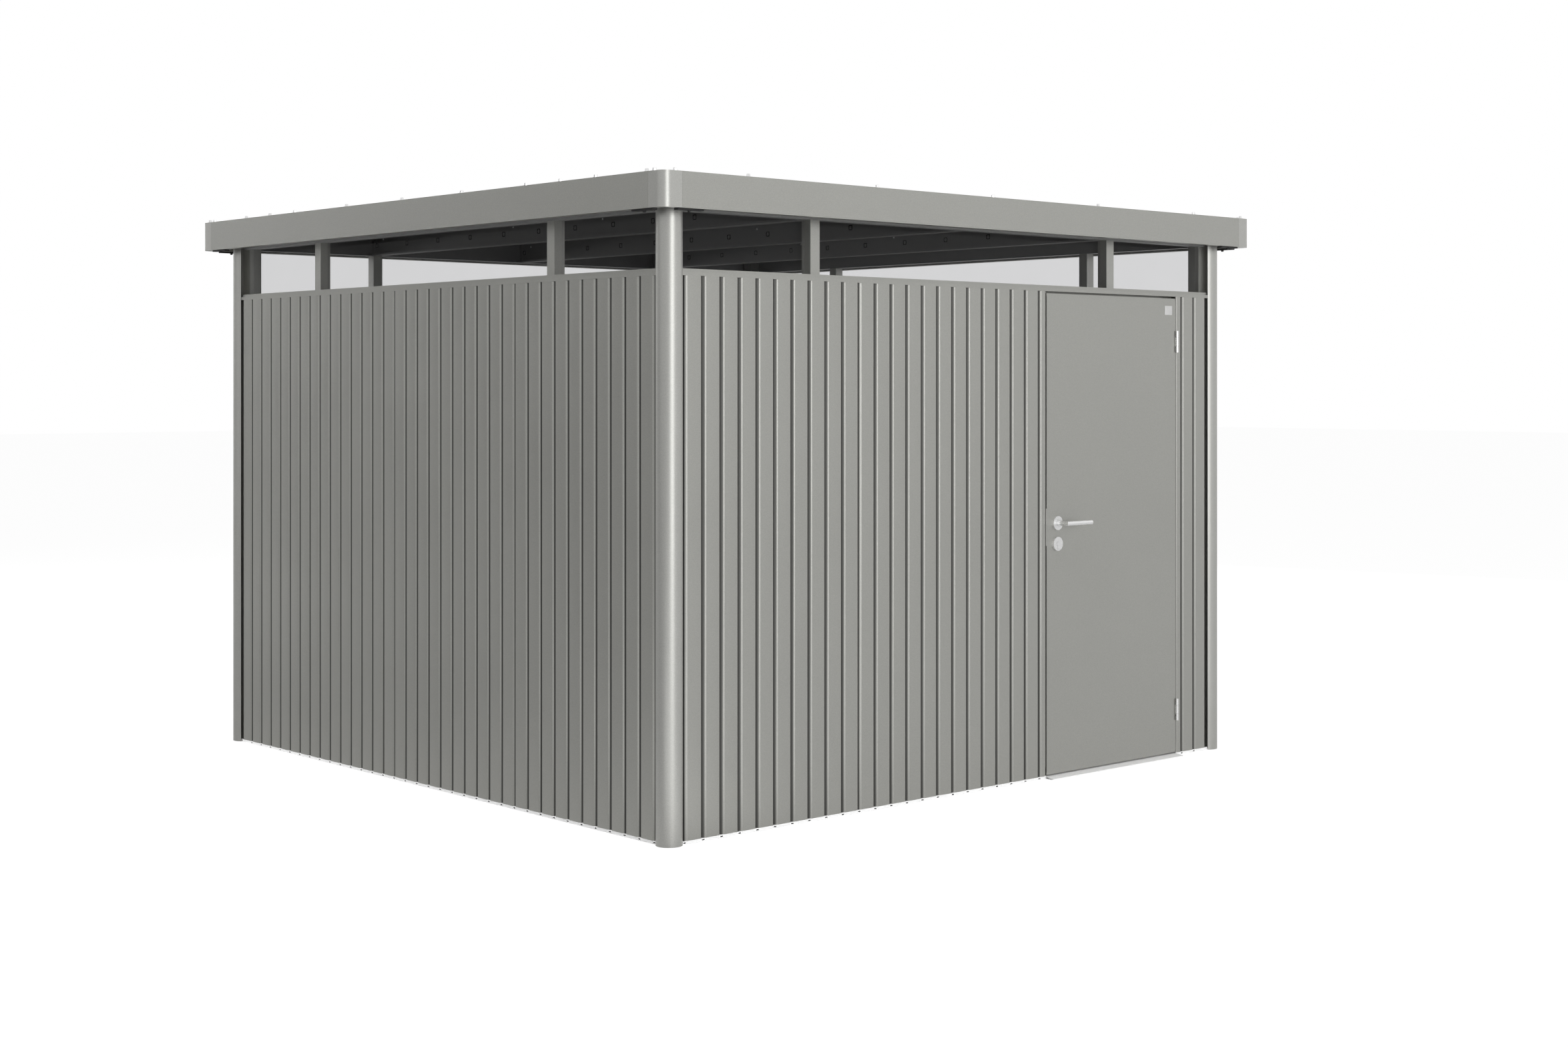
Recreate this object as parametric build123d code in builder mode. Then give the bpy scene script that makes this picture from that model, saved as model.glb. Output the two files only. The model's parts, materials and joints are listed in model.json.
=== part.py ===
from build123d import *
import os

# Flat-roofed garden storage shed of folded steel panels on an aluminium base rail.
# Millimetres, +Z up, origin on the ground in the middle, the door wall faces -Y.

# Driving dimensions of the walls
groove_pitch = 80.0
pitches_per_side = 35
corner_margin = 71.0
low_split_pitches = {"front": 10, "right": 10, "back": 10, "left": 15}
high_split_pitches = {"right": 20, "back": 25, "left": 25}
groove_width = 20.0
groove_floor = 9.0
groove_depth = 8.0
panel_sheet = 1.0
panel_fold = 24.0
panel_joint_gap = 0.8

# Driving dimensions of the corner posts
post_diameter = 90.0
post_wall = 2.0
post_inset = 29.0
post_turn = 45.0
post_tube_inset = 28.3
post_tube_width = 54.0
rail_clearance = 0.3

# Driving dimensions of the base rail and threshold
base_rail_height = 11.0
base_rail_depth = 28.0
base_rail_wall = 1.5
base_upstand_height = 45.0
drain_width = 11.0
drain_height = 4.0
threshold_height = 9.0
threshold_reach = 35.0
threshold_nose = 3.0
threshold_wall = 1.5
threshold_chambers = ((-31.0, -21.0), (-19.5, -1.5), (1.5, 26.5))

# Driving dimensions of the rail that caps the wall panels
cap_lip_bottom = 1877.0
cap_lip_height = 12.6
cap_lip_proud = 2.0
cap_step_inset = 4.0
cap_step_height = 10.4
cap_depth = 62.0
cap_inner_lip = 30.0
cap_sheet = 1.5

# Driving dimensions of the window strip under the roof
window_height = 191.0
mullion_offset = 800.0
mullion_width = 44.0
mullion_depth = 45.0
mullion_inset = 15.0
mullion_wall = 2.0
pane_thickness = 3.0
pane_inset = 47.0

# Driving dimensions of the roof frame
header_height = 89.0
header_sheet = 1.5
header_flange = 45.0
header_outer_flange = 35.0
beam_offset = 800.0
beam_width = 50.0
beam_web = 2.0
beam_lip = 8.0
beam_shoe_length = 24.0
beam_shoe_sheet = 2.0

# Driving dimensions of the roof sheets
roof_rib_count = 24
roof_sheet_count = 4
roof_rib_height = 26.5
roof_rib_crest = 44.0
roof_rib_foot = 64.0
roof_sheet = 1.0
roof_lap_gap = 0.4

# Driving dimensions of the fascia
fascia_overhang = 100.0
fascia_height = 119.0
fascia_sheet = 1.5
fascia_lip = 30.0
fascia_lip_return = 10.0
fascia_top_flange = 20.0
fascia_leg = 79.0
fascia_corner_radius = 35.0
fascia_joint_gap = 0.4
edge_screw_radius = 8.0
edge_screw_height = 10.0
edge_screw_inset = 10.0
long_screw_places = (-1200.0, -600.0, 0.0, 600.0, 1200.0)
short_screw_places = (-1200.0, -1000.0, -800.0, -400.0, 0.0, 400.0, 800.0, 1000.0, 1200.0)
corner_screw_spacing = 40.0

# Driving dimensions of the door
door_start_half_pitches = 45
door_pitches = 10
door_leaf_inset = 2.0
door_gap = 5.0
door_bottom = 14.5
door_top = 1869.0
door_depth = 36.0
door_sheet = 1.0
door_band = 9.0
door_return_lip = 16.0
door_stop_overlap = 10.0
door_stop_gap = 5.0
jamb_tube_width = 42.0
jamb_wall = 1.5

# Driving dimensions of the hinges
hinge_radius = 6.0
hinge_pin_radius = 2.5
hinge_pin_clearance = 0.2
hinge_proud = 7.0
hinge_height = 88.0
hinge_knuckle_height = 34.0
hinge_knuckle_gap = 1.0
hinge_tab = 2.0
hinge_tab_depth = 22.0
hinge_levels = (189.0, 1693.0)

# Driving dimensions of the lever handle and lock
handle_x = 460.0
handle_z = 982.0
key_drop = 80.0
rose_radius = 27.0
rose_thickness = 9.0
rose_bore_clearance = 0.5
lever_neck_radius = 10.0
lever_bar_radius = 9.5
lever_reach = 55.0
lever_length = 141.0
spindle_size = 8.0
spindle_hole_radius = 8.0
key_barrel_radius = 8.5
key_body_width = 10.0
key_body_drop = 20.0
key_hole_clearance = 0.5
key_proud = 1.0
lock_guard_height = 144.0
lock_guard_middle = 968.0
lock_guard_gap = 1.0
lock_guard_sheet = 2.0

# Places worked out from the driving dimensions
wall_side = pitches_per_side * groove_pitch + 2 * corner_margin
half_wall = wall_side / 2
half_grooves = pitches_per_side * groove_pitch / 2
groove_centres = [index * groove_pitch - half_grooves for index in range(pitches_per_side + 1)]
post_radius = post_diameter / 2
post_edge = half_wall - post_inset - Vector(post_radius, 0).rotate(Axis.Z, post_turn).X
post_tube_middle = half_wall - post_tube_inset - post_tube_width / 2
post_tube_face = post_tube_middle - post_tube_width / 2
rail_end = post_edge - rail_clearance
cap_top = cap_lip_bottom + cap_lip_height + cap_step_height
panel_top = cap_lip_bottom + cap_lip_height - cap_sheet
header_bottom = cap_top + window_height
roof_seat = header_bottom + header_height
fascia_top = roof_seat + roof_rib_height + fascia_sheet
fascia_bottom = fascia_top - fascia_height
half_fascia = half_wall + fascia_overhang
roof_half = half_fascia - fascia_sheet - rail_clearance
door_left = door_start_half_pitches * groove_pitch / 2 - half_grooves + door_leaf_inset
door_right = door_left + door_pitches * groove_pitch - 2 * door_leaf_inset
opening_left = door_left - door_gap
opening_right = door_right + door_gap
door_front = -half_wall
door_back = door_front + door_depth
door_inside = door_back + door_sheet
stop_depth = door_depth + door_sheet + door_stop_gap
jamb_tube_depth = cap_depth - cap_sheet - rail_clearance - stop_depth
key_z = handle_z - key_drop

side_turns = {"front": 0, "right": 90, "back": 180, "left": 270}


def along(turn):
    """Direction along a wall, left to right as seen from outside."""
    return Vector(1, 0, 0).rotate(Axis.Z, turn)


def wall_point(turn, place, height=0.0):
    """Point in a wall's outer face, place millimetres right of its middle."""
    return Vector(place, -half_wall, height).rotate(Axis.Z, turn)


def plan_plane(turn, height):
    """Level plane at a wall: x along the wall, y inwards, normal up."""
    return Plane(origin=wall_point(turn, 0, height), x_dir=along(turn), z_dir=(0, 0, 1))


def section_plane(turn, place):
    """Plane across a wall: x inwards, y up, normal along the wall."""
    inwards = Vector(0, 1, 0).rotate(Axis.Z, turn)
    return Plane(origin=wall_point(turn, place), x_dir=inwards, z_dir=along(turn))


def face_plane(turn, depth=0.0):
    """Upright plane in a wall's face: x along the wall, y up, normal outwards."""
    outwards = Vector(0, -1, 0).rotate(Axis.Z, turn)
    origin = wall_point(turn, 0) - outwards * depth
    return Plane(origin=origin, x_dir=along(turn), z_dir=outwards)


def right_of(start, end):
    """Unit vector to the right of the way from start to end."""
    way = (end - start).normalized()
    return Vector(way.Y, -way.X)


def sheet_outline(bend_points, thickness):
    """Closed outline of a folded sheet: the bend points, and their mitred copy to the right."""
    bends = [Vector(*point) for point in bend_points]
    sides = [right_of(start, end) for start, end in zip(bends, bends[1:])]
    inner = []
    for bend, before, after in zip(bends, sides[:1] + sides, sides + sides[-1:]):
        inner.append(bend + (before + after) * (thickness / (1 + before.dot(after))))
    return bends + inner[::-1]


def folded_strip(plane, bend_points, thickness, length):
    """Sheet folded along the bend points, thickened to their right, and run for a length."""
    with BuildPart() as strip:
        with BuildSketch(plane):
            with BuildLine():
                Polyline(*sheet_outline(bend_points, thickness), close=True)
            make_face()
        extrude(amount=length)
    return strip.part


# Wall panels: flat steel sheet with pressed grooves and folded edges

def panel_bend_points(start, end, joint_at_start, joint_at_end):
    """Plan outline of a panel's outer face, from the inner end of one fold to the other."""
    half_groove = groove_width / 2
    half_floor = groove_floor / 2
    half_gap = panel_joint_gap / 2
    points = []
    if joint_at_end:
        points.append((end - half_gap, panel_fold))
        points.append((end - half_gap, groove_depth))
        points.append((end - half_groove, 0))
    else:
        points.append((end, panel_fold))
        points.append((end, 0))
    for centre in reversed(groove_centres):
        if start + groove_width < centre < end - groove_width:
            points.append((centre + half_groove, 0))
            points.append((centre + half_floor, groove_depth))
            points.append((centre - half_floor, groove_depth))
            points.append((centre - half_groove, 0))
    if joint_at_start:
        points.append((start + half_groove, 0))
        points.append((start + half_gap, groove_depth))
        points.append((start + half_gap, panel_fold))
    else:
        points.append((start, 0))
        points.append((start, panel_fold))
    return points


def wall_panel(turn, start, end, joint_at_start, joint_at_end):
    """One ribbed panel between two places along a wall."""
    points = panel_bend_points(start, end, joint_at_start, joint_at_end)
    plane = plan_plane(turn, base_rail_height)
    return folded_strip(plane, points, panel_sheet, panel_top - base_rail_height)


def pitch_place(pitches):
    """Place along a wall, counted in pitches from its left end groove."""
    return pitches * groove_pitch - half_grooves


pieces = {}

end_panel_names = {"left": ("back", "front"), "right": ("front", "back"), "back": ("right", "left")}
for side, (first, third) in end_panel_names.items():
    turn = side_turns[side]
    low_split = pitch_place(low_split_pitches[side])
    high_split = pitch_place(high_split_pitches[side])
    pieces[f"{side}_wall_{first}_panel"] = wall_panel(turn, -half_grooves, low_split, True, True)
    pieces[f"{side}_wall_middle_panel"] = wall_panel(turn, low_split, high_split, True, True)
    pieces[f"{side}_wall_{third}_panel"] = wall_panel(turn, high_split, half_grooves, True, True)

front_split = pitch_place(low_split_pitches["front"])
pieces["front_wall_left_panel"] = wall_panel(0, -half_grooves, front_split, True, True)
pieces["front_wall_middle_panel"] = wall_panel(0, front_split, opening_left, True, False)
pieces["front_wall_right_panel"] = wall_panel(0, opening_right, half_grooves, False, True)


# Corner posts: half-round steel profiles from the ground to the roof sheets, each on a square tube

def corner_post(turn):
    """Post at the left end of a wall: a closed half-round turned outwards, and the tube behind it."""
    with BuildPart() as post:
        with BuildSketch(plan_plane(turn, 0)):
            with Locations(Location((post_inset - half_wall, post_inset, 0), (0, 0, post_turn))):
                Circle(post_radius)
                Circle(post_radius - post_wall, mode=Mode.SUBTRACT)
                Rectangle(post_wall, post_diameter - post_wall, align=(Align.MAX, Align.CENTER))
                Rectangle(
                    post_diameter,
                    post_diameter,
                    align=(Align.MIN, Align.CENTER),
                    mode=Mode.SUBTRACT,
                )
        extrude(amount=roof_seat)
        with BuildSketch(plan_plane(turn, 0)):
            with Locations((-post_tube_middle, half_wall - post_tube_middle)):
                Rectangle(post_tube_width, post_tube_width)
                Rectangle(
                    post_tube_width - 2 * post_wall,
                    post_tube_width - 2 * post_wall,
                    mode=Mode.SUBTRACT,
                )
        extrude(amount=roof_seat)
    return post.part


post_names = {"front": "front_left", "right": "front_right", "back": "back_right", "left": "back_left"}
for side, post_name in post_names.items():
    pieces[f"{post_name}_corner_post"] = corner_post(side_turns[side])


# Base rail: aluminium box profile with an upstand, and drain holes on the front and left sides

def base_rail(turn, start, end):
    """One run of the base rail."""
    inner_width = base_rail_depth - 2 * base_rail_wall
    inner_height = base_rail_height - 2 * base_rail_wall
    upstand_face = base_rail_depth - base_rail_wall
    with BuildPart() as rail:
        with BuildSketch(section_plane(turn, start)):
            with BuildLine():
                Polyline(
                    (0, 0),
                    (base_rail_depth, 0),
                    (base_rail_depth, base_upstand_height),
                    (upstand_face, base_upstand_height),
                    (upstand_face, base_rail_height),
                    (0, base_rail_height),
                    close=True,
                )
            make_face()
            with Locations((base_rail_depth / 2, base_rail_height / 2)):
                Rectangle(inner_width, inner_height, mode=Mode.SUBTRACT)
        extrude(amount=end - start)
    return rail.part


def drained_rail(turn, start, end):
    """One run of the base rail with a drain hole under each groove."""
    spots = [(centre, base_rail_height / 2) for centre in groove_centres if start < centre < end]
    with BuildPart() as rail:
        add(base_rail(turn, start, end))
        with BuildSketch(face_plane(turn)):
            with Locations(*spots):
                Rectangle(drain_width, drain_height)
        extrude(amount=-base_rail_depth / 2, mode=Mode.SUBTRACT)
    return rail.part


with BuildPart() as base_rails:
    add(drained_rail(0, -rail_end, opening_left))
    add(drained_rail(0, opening_right, rail_end))
    add(drained_rail(side_turns["left"], -rail_end, rail_end))
    for side in ("right", "back"):
        add(base_rail(side_turns[side], -rail_end, rail_end))
pieces["base_rails"] = base_rails.part


# Threshold: ramped and hollow aluminium sill that fills the gap in the base rail

def threshold_top(place):
    """Height of the threshold at a distance behind the wall's face, or before it."""
    slope = (threshold_height - threshold_nose) / threshold_reach
    return threshold_height + slope * min(place, 0)


with BuildPart() as door_threshold:
    with BuildSketch(section_plane(0, opening_left + rail_clearance)):
        with BuildLine():
            Polyline(
                (-threshold_reach, 0),
                (base_rail_depth, 0),
                (base_rail_depth, threshold_height),
                (0, threshold_height),
                (-threshold_reach, threshold_nose),
                close=True,
            )
        make_face()
        for start, end in threshold_chambers:
            with BuildLine():
                Polyline(
                    (start, threshold_wall),
                    (end, threshold_wall),
                    (end, threshold_top(end) - threshold_wall),
                    (start, threshold_top(start) - threshold_wall),
                    close=True,
                )
            make_face(mode=Mode.SUBTRACT)
    extrude(amount=opening_right - opening_left - 2 * rail_clearance)
pieces["door_threshold"] = door_threshold.part


# Cap rail: stepped profile over the panels, which also carries the window strip

cap_bend_points = [
    (-cap_lip_proud, cap_lip_bottom),
    (-cap_lip_proud, cap_lip_bottom + cap_lip_height),
    (cap_step_inset, cap_lip_bottom + cap_lip_height),
    (cap_step_inset, cap_top),
    (cap_depth, cap_top),
    (cap_depth, cap_top - cap_inner_lip),
]

# Header: folded rail over the windows, with a shelf for the beams and one for the roof sheets
header_bend_points = [
    (mullion_inset - header_outer_flange, roof_seat),
    (mullion_inset + header_sheet, roof_seat),
    (mullion_inset + header_sheet, header_bottom + header_sheet),
    (mullion_inset + header_flange, header_bottom + header_sheet),
]


# Window strip: square posts and clear panes between the cap rail and the header

def window_posts(turn):
    """Two mullions of one wall, as square tubes."""
    depth_middle = mullion_inset + mullion_depth / 2
    with BuildPart() as posts:
        with BuildSketch(plan_plane(turn, cap_top)):
            with Locations((-mullion_offset, depth_middle), (mullion_offset, depth_middle)):
                Rectangle(mullion_width, mullion_depth)
                Rectangle(
                    mullion_width - 2 * mullion_wall,
                    mullion_depth - 2 * mullion_wall,
                    mode=Mode.SUBTRACT,
                )
        extrude(amount=window_height)
    return posts.part


def window_panes(turn):
    """Three clear panes of one wall, between the mullions and the post tubes."""
    mullion_face = mullion_offset + mullion_width / 2
    side_width = post_tube_face - mullion_face - 2 * rail_clearance
    side_middle = (post_tube_face + mullion_face) / 2
    middle_width = 2 * mullion_offset - mullion_width - 2 * rail_clearance
    depth_middle = pane_inset + pane_thickness / 2
    with BuildPart() as panes:
        with BuildSketch(plan_plane(turn, cap_top)):
            with Locations((-side_middle, depth_middle), (side_middle, depth_middle)):
                Rectangle(side_width, pane_thickness)
            with Locations((0, depth_middle)):
                Rectangle(middle_width, pane_thickness)
        extrude(amount=window_height)
    return panes.part


def four_strips(bend_points, thickness):
    """The same folded strip along each wall from post to post, notched round the post tubes."""
    notch_width = post_tube_width + 2 * rail_clearance
    with BuildPart() as strips:
        for turn in side_turns.values():
            start = section_plane(turn, -rail_end)
            add(folded_strip(start, bend_points, thickness, 2 * rail_end))
        with BuildSketch(Plane.XY):
            with GridLocations(2 * post_tube_middle, 2 * post_tube_middle, 2, 2):
                Rectangle(notch_width, notch_width)
        extrude(amount=roof_seat, mode=Mode.SUBTRACT)
    return strips.part


pieces["cap_rails"] = four_strips(cap_bend_points, cap_sheet)
pieces["roof_headers"] = four_strips(header_bend_points, header_sheet)
with BuildPart() as all_panes:
    for turn in side_turns.values():
        add(window_panes(turn))
pieces["window_panes"] = all_panes.part
for side, turn in side_turns.items():
    pieces[f"{side}_window_posts"] = window_posts(turn)

# Roof beams: flanged steel profiles on the front and back headers, with a shoe plate at each end
beam_bottom = header_bottom + header_sheet
beam_height = roof_seat - beam_bottom
beam_half_length = half_wall - mullion_inset - header_sheet - rail_clearance
beam_lip_place = (beam_width - beam_web) / 2
beam_shoe_place = (beam_web + beam_shoe_sheet) / 2
beam_places = (-beam_offset, 0, beam_offset)
with BuildPart() as roof_beams:
    with BuildSketch(Plane.XZ.offset(-beam_half_length)):
        with Locations(*[(place, beam_bottom) for place in beam_places]):
            Rectangle(beam_width, beam_web, align=(Align.CENTER, Align.MIN))
            Rectangle(beam_web, beam_height, align=(Align.CENTER, Align.MIN))
            with Locations((-beam_lip_place, 0), (beam_lip_place, 0)):
                Rectangle(beam_web, beam_lip, align=(Align.CENTER, Align.MIN))
            with Locations((0, beam_height)):
                Rectangle(beam_width, beam_web, align=(Align.CENTER, Align.MAX))
    extrude(amount=2 * beam_half_length)
    shoe_spots = [(place - beam_shoe_place, beam_bottom + beam_web) for place in beam_places]
    for shoe_end in (-beam_half_length, beam_half_length - beam_shoe_length):
        with BuildSketch(Plane.XZ.offset(shoe_end)):
            with Locations(*shoe_spots):
                Rectangle(
                    beam_shoe_sheet,
                    beam_height - 2 * beam_web,
                    align=(Align.CENTER, Align.MIN),
                )
        extrude(amount=beam_shoe_length)
pieces["roof_beams"] = roof_beams.part


# Roof sheets: trapezoid ribs across the beams, cut round at the roof's corners

def roof_bend_points(first_rib, last_rib):
    """Outline of a roof sheet's underside from one rib crest to another, right to left."""
    rib_pitch = 2 * roof_half / roof_rib_count
    crest = roof_seat + roof_rib_height - roof_sheet
    half_crest = roof_rib_crest / 2
    half_foot = roof_rib_foot / 2
    points = []
    for rib in range(last_rib, first_rib - 1, -1):
        middle = rib * rib_pitch - roof_half
        if rib == last_rib:
            points.append((middle - roof_lap_gap / 2, crest))
        else:
            points.append((middle + half_foot, roof_seat))
            points.append((middle + half_crest, crest))
        if rib == first_rib:
            points.append((middle + roof_lap_gap / 2, crest))
        else:
            points.append((middle - half_crest, crest))
            points.append((middle - half_foot, roof_seat))
    return points


ribs_per_sheet = roof_rib_count // roof_sheet_count
roof_section = Plane(origin=(-roof_half, 0, 0), x_dir=(0, 1, 0), z_dir=(1, 0, 0))
with BuildPart() as roof_sheets:
    for index in range(roof_sheet_count):
        first_rib = index * ribs_per_sheet
        rib_points = roof_bend_points(first_rib, first_rib + ribs_per_sheet)
        add(folded_strip(roof_section, rib_points, roof_sheet, 2 * roof_half))
    with BuildSketch(Plane.XY.offset(roof_seat)):
        RectangleRounded(2 * roof_half, 2 * roof_half, fascia_corner_radius)
    extrude(amount=roof_rib_height, mode=Mode.INTERSECT)
pieces["roof_sheets"] = roof_sheets.part


# Fascia: folded band round the roof edge, with separate rounded corner pieces

fascia_bend_points = [
    (fascia_lip - fascia_overhang, fascia_bottom + fascia_lip_return),
    (fascia_lip - fascia_overhang, fascia_bottom),
    (-fascia_overhang, fascia_bottom),
    (-fascia_overhang, fascia_top),
    (fascia_top_flange - fascia_overhang, fascia_top),
]
fascia_end = half_fascia - fascia_leg - fascia_joint_gap
for side, turn in side_turns.items():
    fascia_start = section_plane(turn, -fascia_end)
    pieces[f"{side}_fascia"] = folded_strip(
        fascia_start, fascia_bend_points, fascia_sheet, 2 * fascia_end
    )


def fascia_corner(turn):
    """Rounded fascia corner at the left end of a wall."""
    leg_place = fascia_leg - half_fascia
    with BuildPart() as corner:
        with BuildLine(plan_plane(turn, 0)) as edge:
            FilletPolyline(
                (leg_place, -fascia_overhang),
                (-half_fascia, -fascia_overhang),
                (-half_fascia, leg_place + half_wall),
                radius=fascia_corner_radius,
            )
        with BuildSketch(section_plane(turn, leg_place)):
            with BuildLine():
                Polyline(*sheet_outline(fascia_bend_points, fascia_sheet), close=True)
            make_face()
        sweep(path=edge.wires()[0])
    return corner.part


with BuildPart() as fascia_corners:
    for turn in side_turns.values():
        add(fascia_corner(turn))
pieces["fascia_corners"] = fascia_corners.part

# Screws along the top of the fascia
corner_screw_place = half_fascia - fascia_leg / 2 - fascia_corner_radius / 2
second_screw_place = corner_screw_place - corner_screw_spacing
ribbed_end_places = (-second_screw_place, *short_screw_places, second_screw_place)
screw_places = {
    "front": long_screw_places,
    "right": ribbed_end_places,
    "back": long_screw_places,
    "left": ribbed_end_places,
}
with BuildPart() as roof_edge_screws:
    for side, places in screw_places.items():
        spots = [(place, edge_screw_inset - fascia_overhang) for place in places]
        spots.append((-corner_screw_place, edge_screw_inset - fascia_overhang))
        spots.append((corner_screw_place, edge_screw_inset - fascia_overhang))
        with BuildSketch(plan_plane(side_turns[side], fascia_top)):
            with Locations(*spots):
                RegularPolygon(edge_screw_radius, 6)
        extrude(amount=edge_screw_height)
pieces["roof_edge_screws"] = roof_edge_screws.part


# Door frame: square tubes behind the opening that stop the leaf

def door_jamb(tube_middle, flange_middle):
    """Jamb tube from the ground to the cap rail, with a flange along the panel's fold."""
    flange_start = panel_sheet
    flange_length = stop_depth - flange_start
    with BuildPart() as jamb:
        with BuildSketch(plan_plane(0, 0)):
            with Locations((tube_middle, stop_depth + jamb_tube_depth / 2)):
                Rectangle(jamb_tube_width, jamb_tube_depth)
                Rectangle(
                    jamb_tube_width - 2 * jamb_wall,
                    jamb_tube_depth - 2 * jamb_wall,
                    mode=Mode.SUBTRACT,
                )
        extrude(amount=cap_top - cap_sheet)
        with BuildSketch(plan_plane(0, base_upstand_height + rail_clearance)):
            with Locations((flange_middle, flange_start)):
                Rectangle(jamb_wall, flange_length, align=(Align.CENTER, Align.MIN))
        extrude(amount=panel_top - base_upstand_height - 2 * rail_clearance)
    return jamb.part


stop_left = door_left + door_stop_overlap
stop_right = door_right - door_stop_overlap
flange_inset = panel_sheet + jamb_wall / 2
pieces["door_jamb_left"] = door_jamb(stop_left - jamb_tube_width / 2, opening_left - flange_inset)
pieces["door_jamb_right"] = door_jamb(stop_right + jamb_tube_width / 2, opening_right + flange_inset)

head_bottom = door_top - door_stop_overlap
head_height = cap_top - cap_sheet - head_bottom
with BuildPart() as door_head:
    with BuildSketch(section_plane(0, stop_left + rail_clearance)):
        with Locations((stop_depth + jamb_tube_depth / 2, head_bottom + head_height / 2)):
            Rectangle(jamb_tube_depth, head_height)
            Rectangle(
                jamb_tube_depth - 2 * jamb_wall,
                head_height - 2 * jamb_wall,
                mode=Mode.SUBTRACT,
            )
    extrude(amount=stop_right - stop_left - 2 * rail_clearance)
pieces["door_head"] = door_head.part


# Door leaf: folded steel tray with a front skin between two narrow bands, closed by a flat panel

door_width = door_right - door_left
door_height = door_top - door_bottom
door_middle_x = (door_left + door_right) / 2
door_middle_z = (door_bottom + door_top) / 2
tray_depth = door_depth - door_sheet
tray_opening_width = door_width - 2 * door_return_lip
tray_opening_height = door_height - 2 * door_return_lip
key_slot_width = key_body_width + 2 * key_hole_clearance
key_slot_drop = key_body_drop + key_hole_clearance


def lock_cuts(front, reach):
    """Holes for the spindle and the key barrel, from an upright plane towards the inside."""
    with BuildPart() as cuts:
        with BuildSketch(face_plane(0, front)):
            with Locations((handle_x, handle_z)):
                Circle(spindle_hole_radius)
            with Locations((handle_x, key_z)):
                Circle(key_barrel_radius + key_hole_clearance)
                Rectangle(key_slot_width, key_slot_drop, align=(Align.CENTER, Align.MAX))
        extrude(amount=-reach)
    return cuts.part


with BuildPart() as door_leaf:
    with BuildSketch(face_plane(0)):
        with Locations((door_middle_x, door_middle_z)):
            Rectangle(door_width, door_height - 2 * door_band)
    extrude(amount=-door_sheet)
    with BuildSketch(face_plane(0, door_sheet)):
        with Locations((door_middle_x, door_middle_z)):
            Rectangle(door_width, door_height)
    extrude(amount=-tray_depth)
    with BuildSketch(face_plane(0, 2 * door_sheet)):
        with Locations((door_middle_x, door_middle_z)):
            Rectangle(door_width - 2 * door_sheet, door_height - 2 * door_sheet)
    extrude(amount=-(tray_depth - 2 * door_sheet), mode=Mode.SUBTRACT)
    with BuildSketch(face_plane(0, door_depth - door_sheet)):
        with Locations((door_middle_x, door_middle_z)):
            Rectangle(tray_opening_width, tray_opening_height)
    extrude(amount=-door_sheet, mode=Mode.SUBTRACT)
    add(lock_cuts(0, 2 * door_sheet), mode=Mode.SUBTRACT)
pieces["door_leaf"] = door_leaf.part

with BuildPart() as door_inner_panel:
    with BuildSketch(face_plane(0, door_depth)):
        with Locations((door_middle_x, door_middle_z)):
            Rectangle(door_width - door_return_lip, door_height - door_return_lip)
    extrude(amount=-door_sheet)
    add(lock_cuts(door_depth, door_sheet), mode=Mode.SUBTRACT)
pieces["door_inner_panel"] = door_inner_panel.part

# Lock guard: narrow plate on the leaf's edge that covers the gap at the lock
with BuildPart() as lock_guard:
    with BuildSketch(face_plane(0)):
        with Locations((door_left, lock_guard_middle)):
            Rectangle(
                door_gap - lock_guard_gap,
                lock_guard_height,
                align=(Align.MAX, Align.CENTER),
            )
    extrude(amount=-lock_guard_sheet)
pieces["lock_guard"] = lock_guard.part


# Hinges: three knuckles on an upright pin, the middle one on the leaf

hinge_x = (door_right + opening_right) / 2
hinge_y = door_front - hinge_proud
knuckle_half = hinge_knuckle_height / 2
end_knuckle_start = knuckle_half + hinge_knuckle_gap
end_knuckle_height = hinge_height / 2 - end_knuckle_start


def frame_hinge(level):
    """Outer knuckles, pin and the tab on the frame side of one hinge."""
    bottom = level - hinge_height / 2
    tab_middle = opening_right - hinge_tab / 2
    with BuildPart() as hinge:
        with BuildSketch(Plane.XY.offset(bottom)):
            with Locations((hinge_x, hinge_y)):
                Circle(hinge_pin_radius)
        extrude(amount=hinge_height)
        for start in (bottom, level + end_knuckle_start):
            with BuildSketch(Plane.XY.offset(start)):
                with Locations((hinge_x, hinge_y)):
                    Circle(hinge_radius)
                with Locations((tab_middle, hinge_y)):
                    Rectangle(
                        hinge_tab,
                        hinge_proud + hinge_tab_depth,
                        align=(Align.CENTER, Align.MIN),
                    )
            extrude(amount=end_knuckle_height)
        with BuildSketch(Plane.XY.offset(bottom)):
            with Locations((tab_middle, door_front + hinge_tab)):
                Rectangle(
                    hinge_tab,
                    hinge_tab_depth - hinge_tab,
                    align=(Align.CENTER, Align.MIN),
                )
        extrude(amount=hinge_height)
    return hinge.part


def leaf_hinge(level):
    """Middle knuckle and the tab on the leaf side of one hinge."""
    tab_middle = door_right + hinge_tab / 2
    with BuildPart() as hinge:
        with BuildSketch(Plane.XY.offset(level - knuckle_half)):
            with Locations((hinge_x, hinge_y)):
                Circle(hinge_radius)
            with Locations((tab_middle, hinge_y)):
                Rectangle(
                    hinge_tab,
                    hinge_proud + hinge_tab_depth,
                    align=(Align.CENTER, Align.MIN),
                )
            with Locations((hinge_x, hinge_y)):
                Circle(hinge_pin_radius + hinge_pin_clearance, mode=Mode.SUBTRACT)
        extrude(amount=hinge_knuckle_height)
    return hinge.part


with BuildPart() as hinge_pins:
    for level in hinge_levels:
        add(frame_hinge(level))
pieces["door_hinge_pins"] = hinge_pins.part

with BuildPart() as hinge_knuckles:
    for level in hinge_levels:
        add(leaf_hinge(level))
pieces["door_hinge_knuckles"] = hinge_knuckles.part


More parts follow.
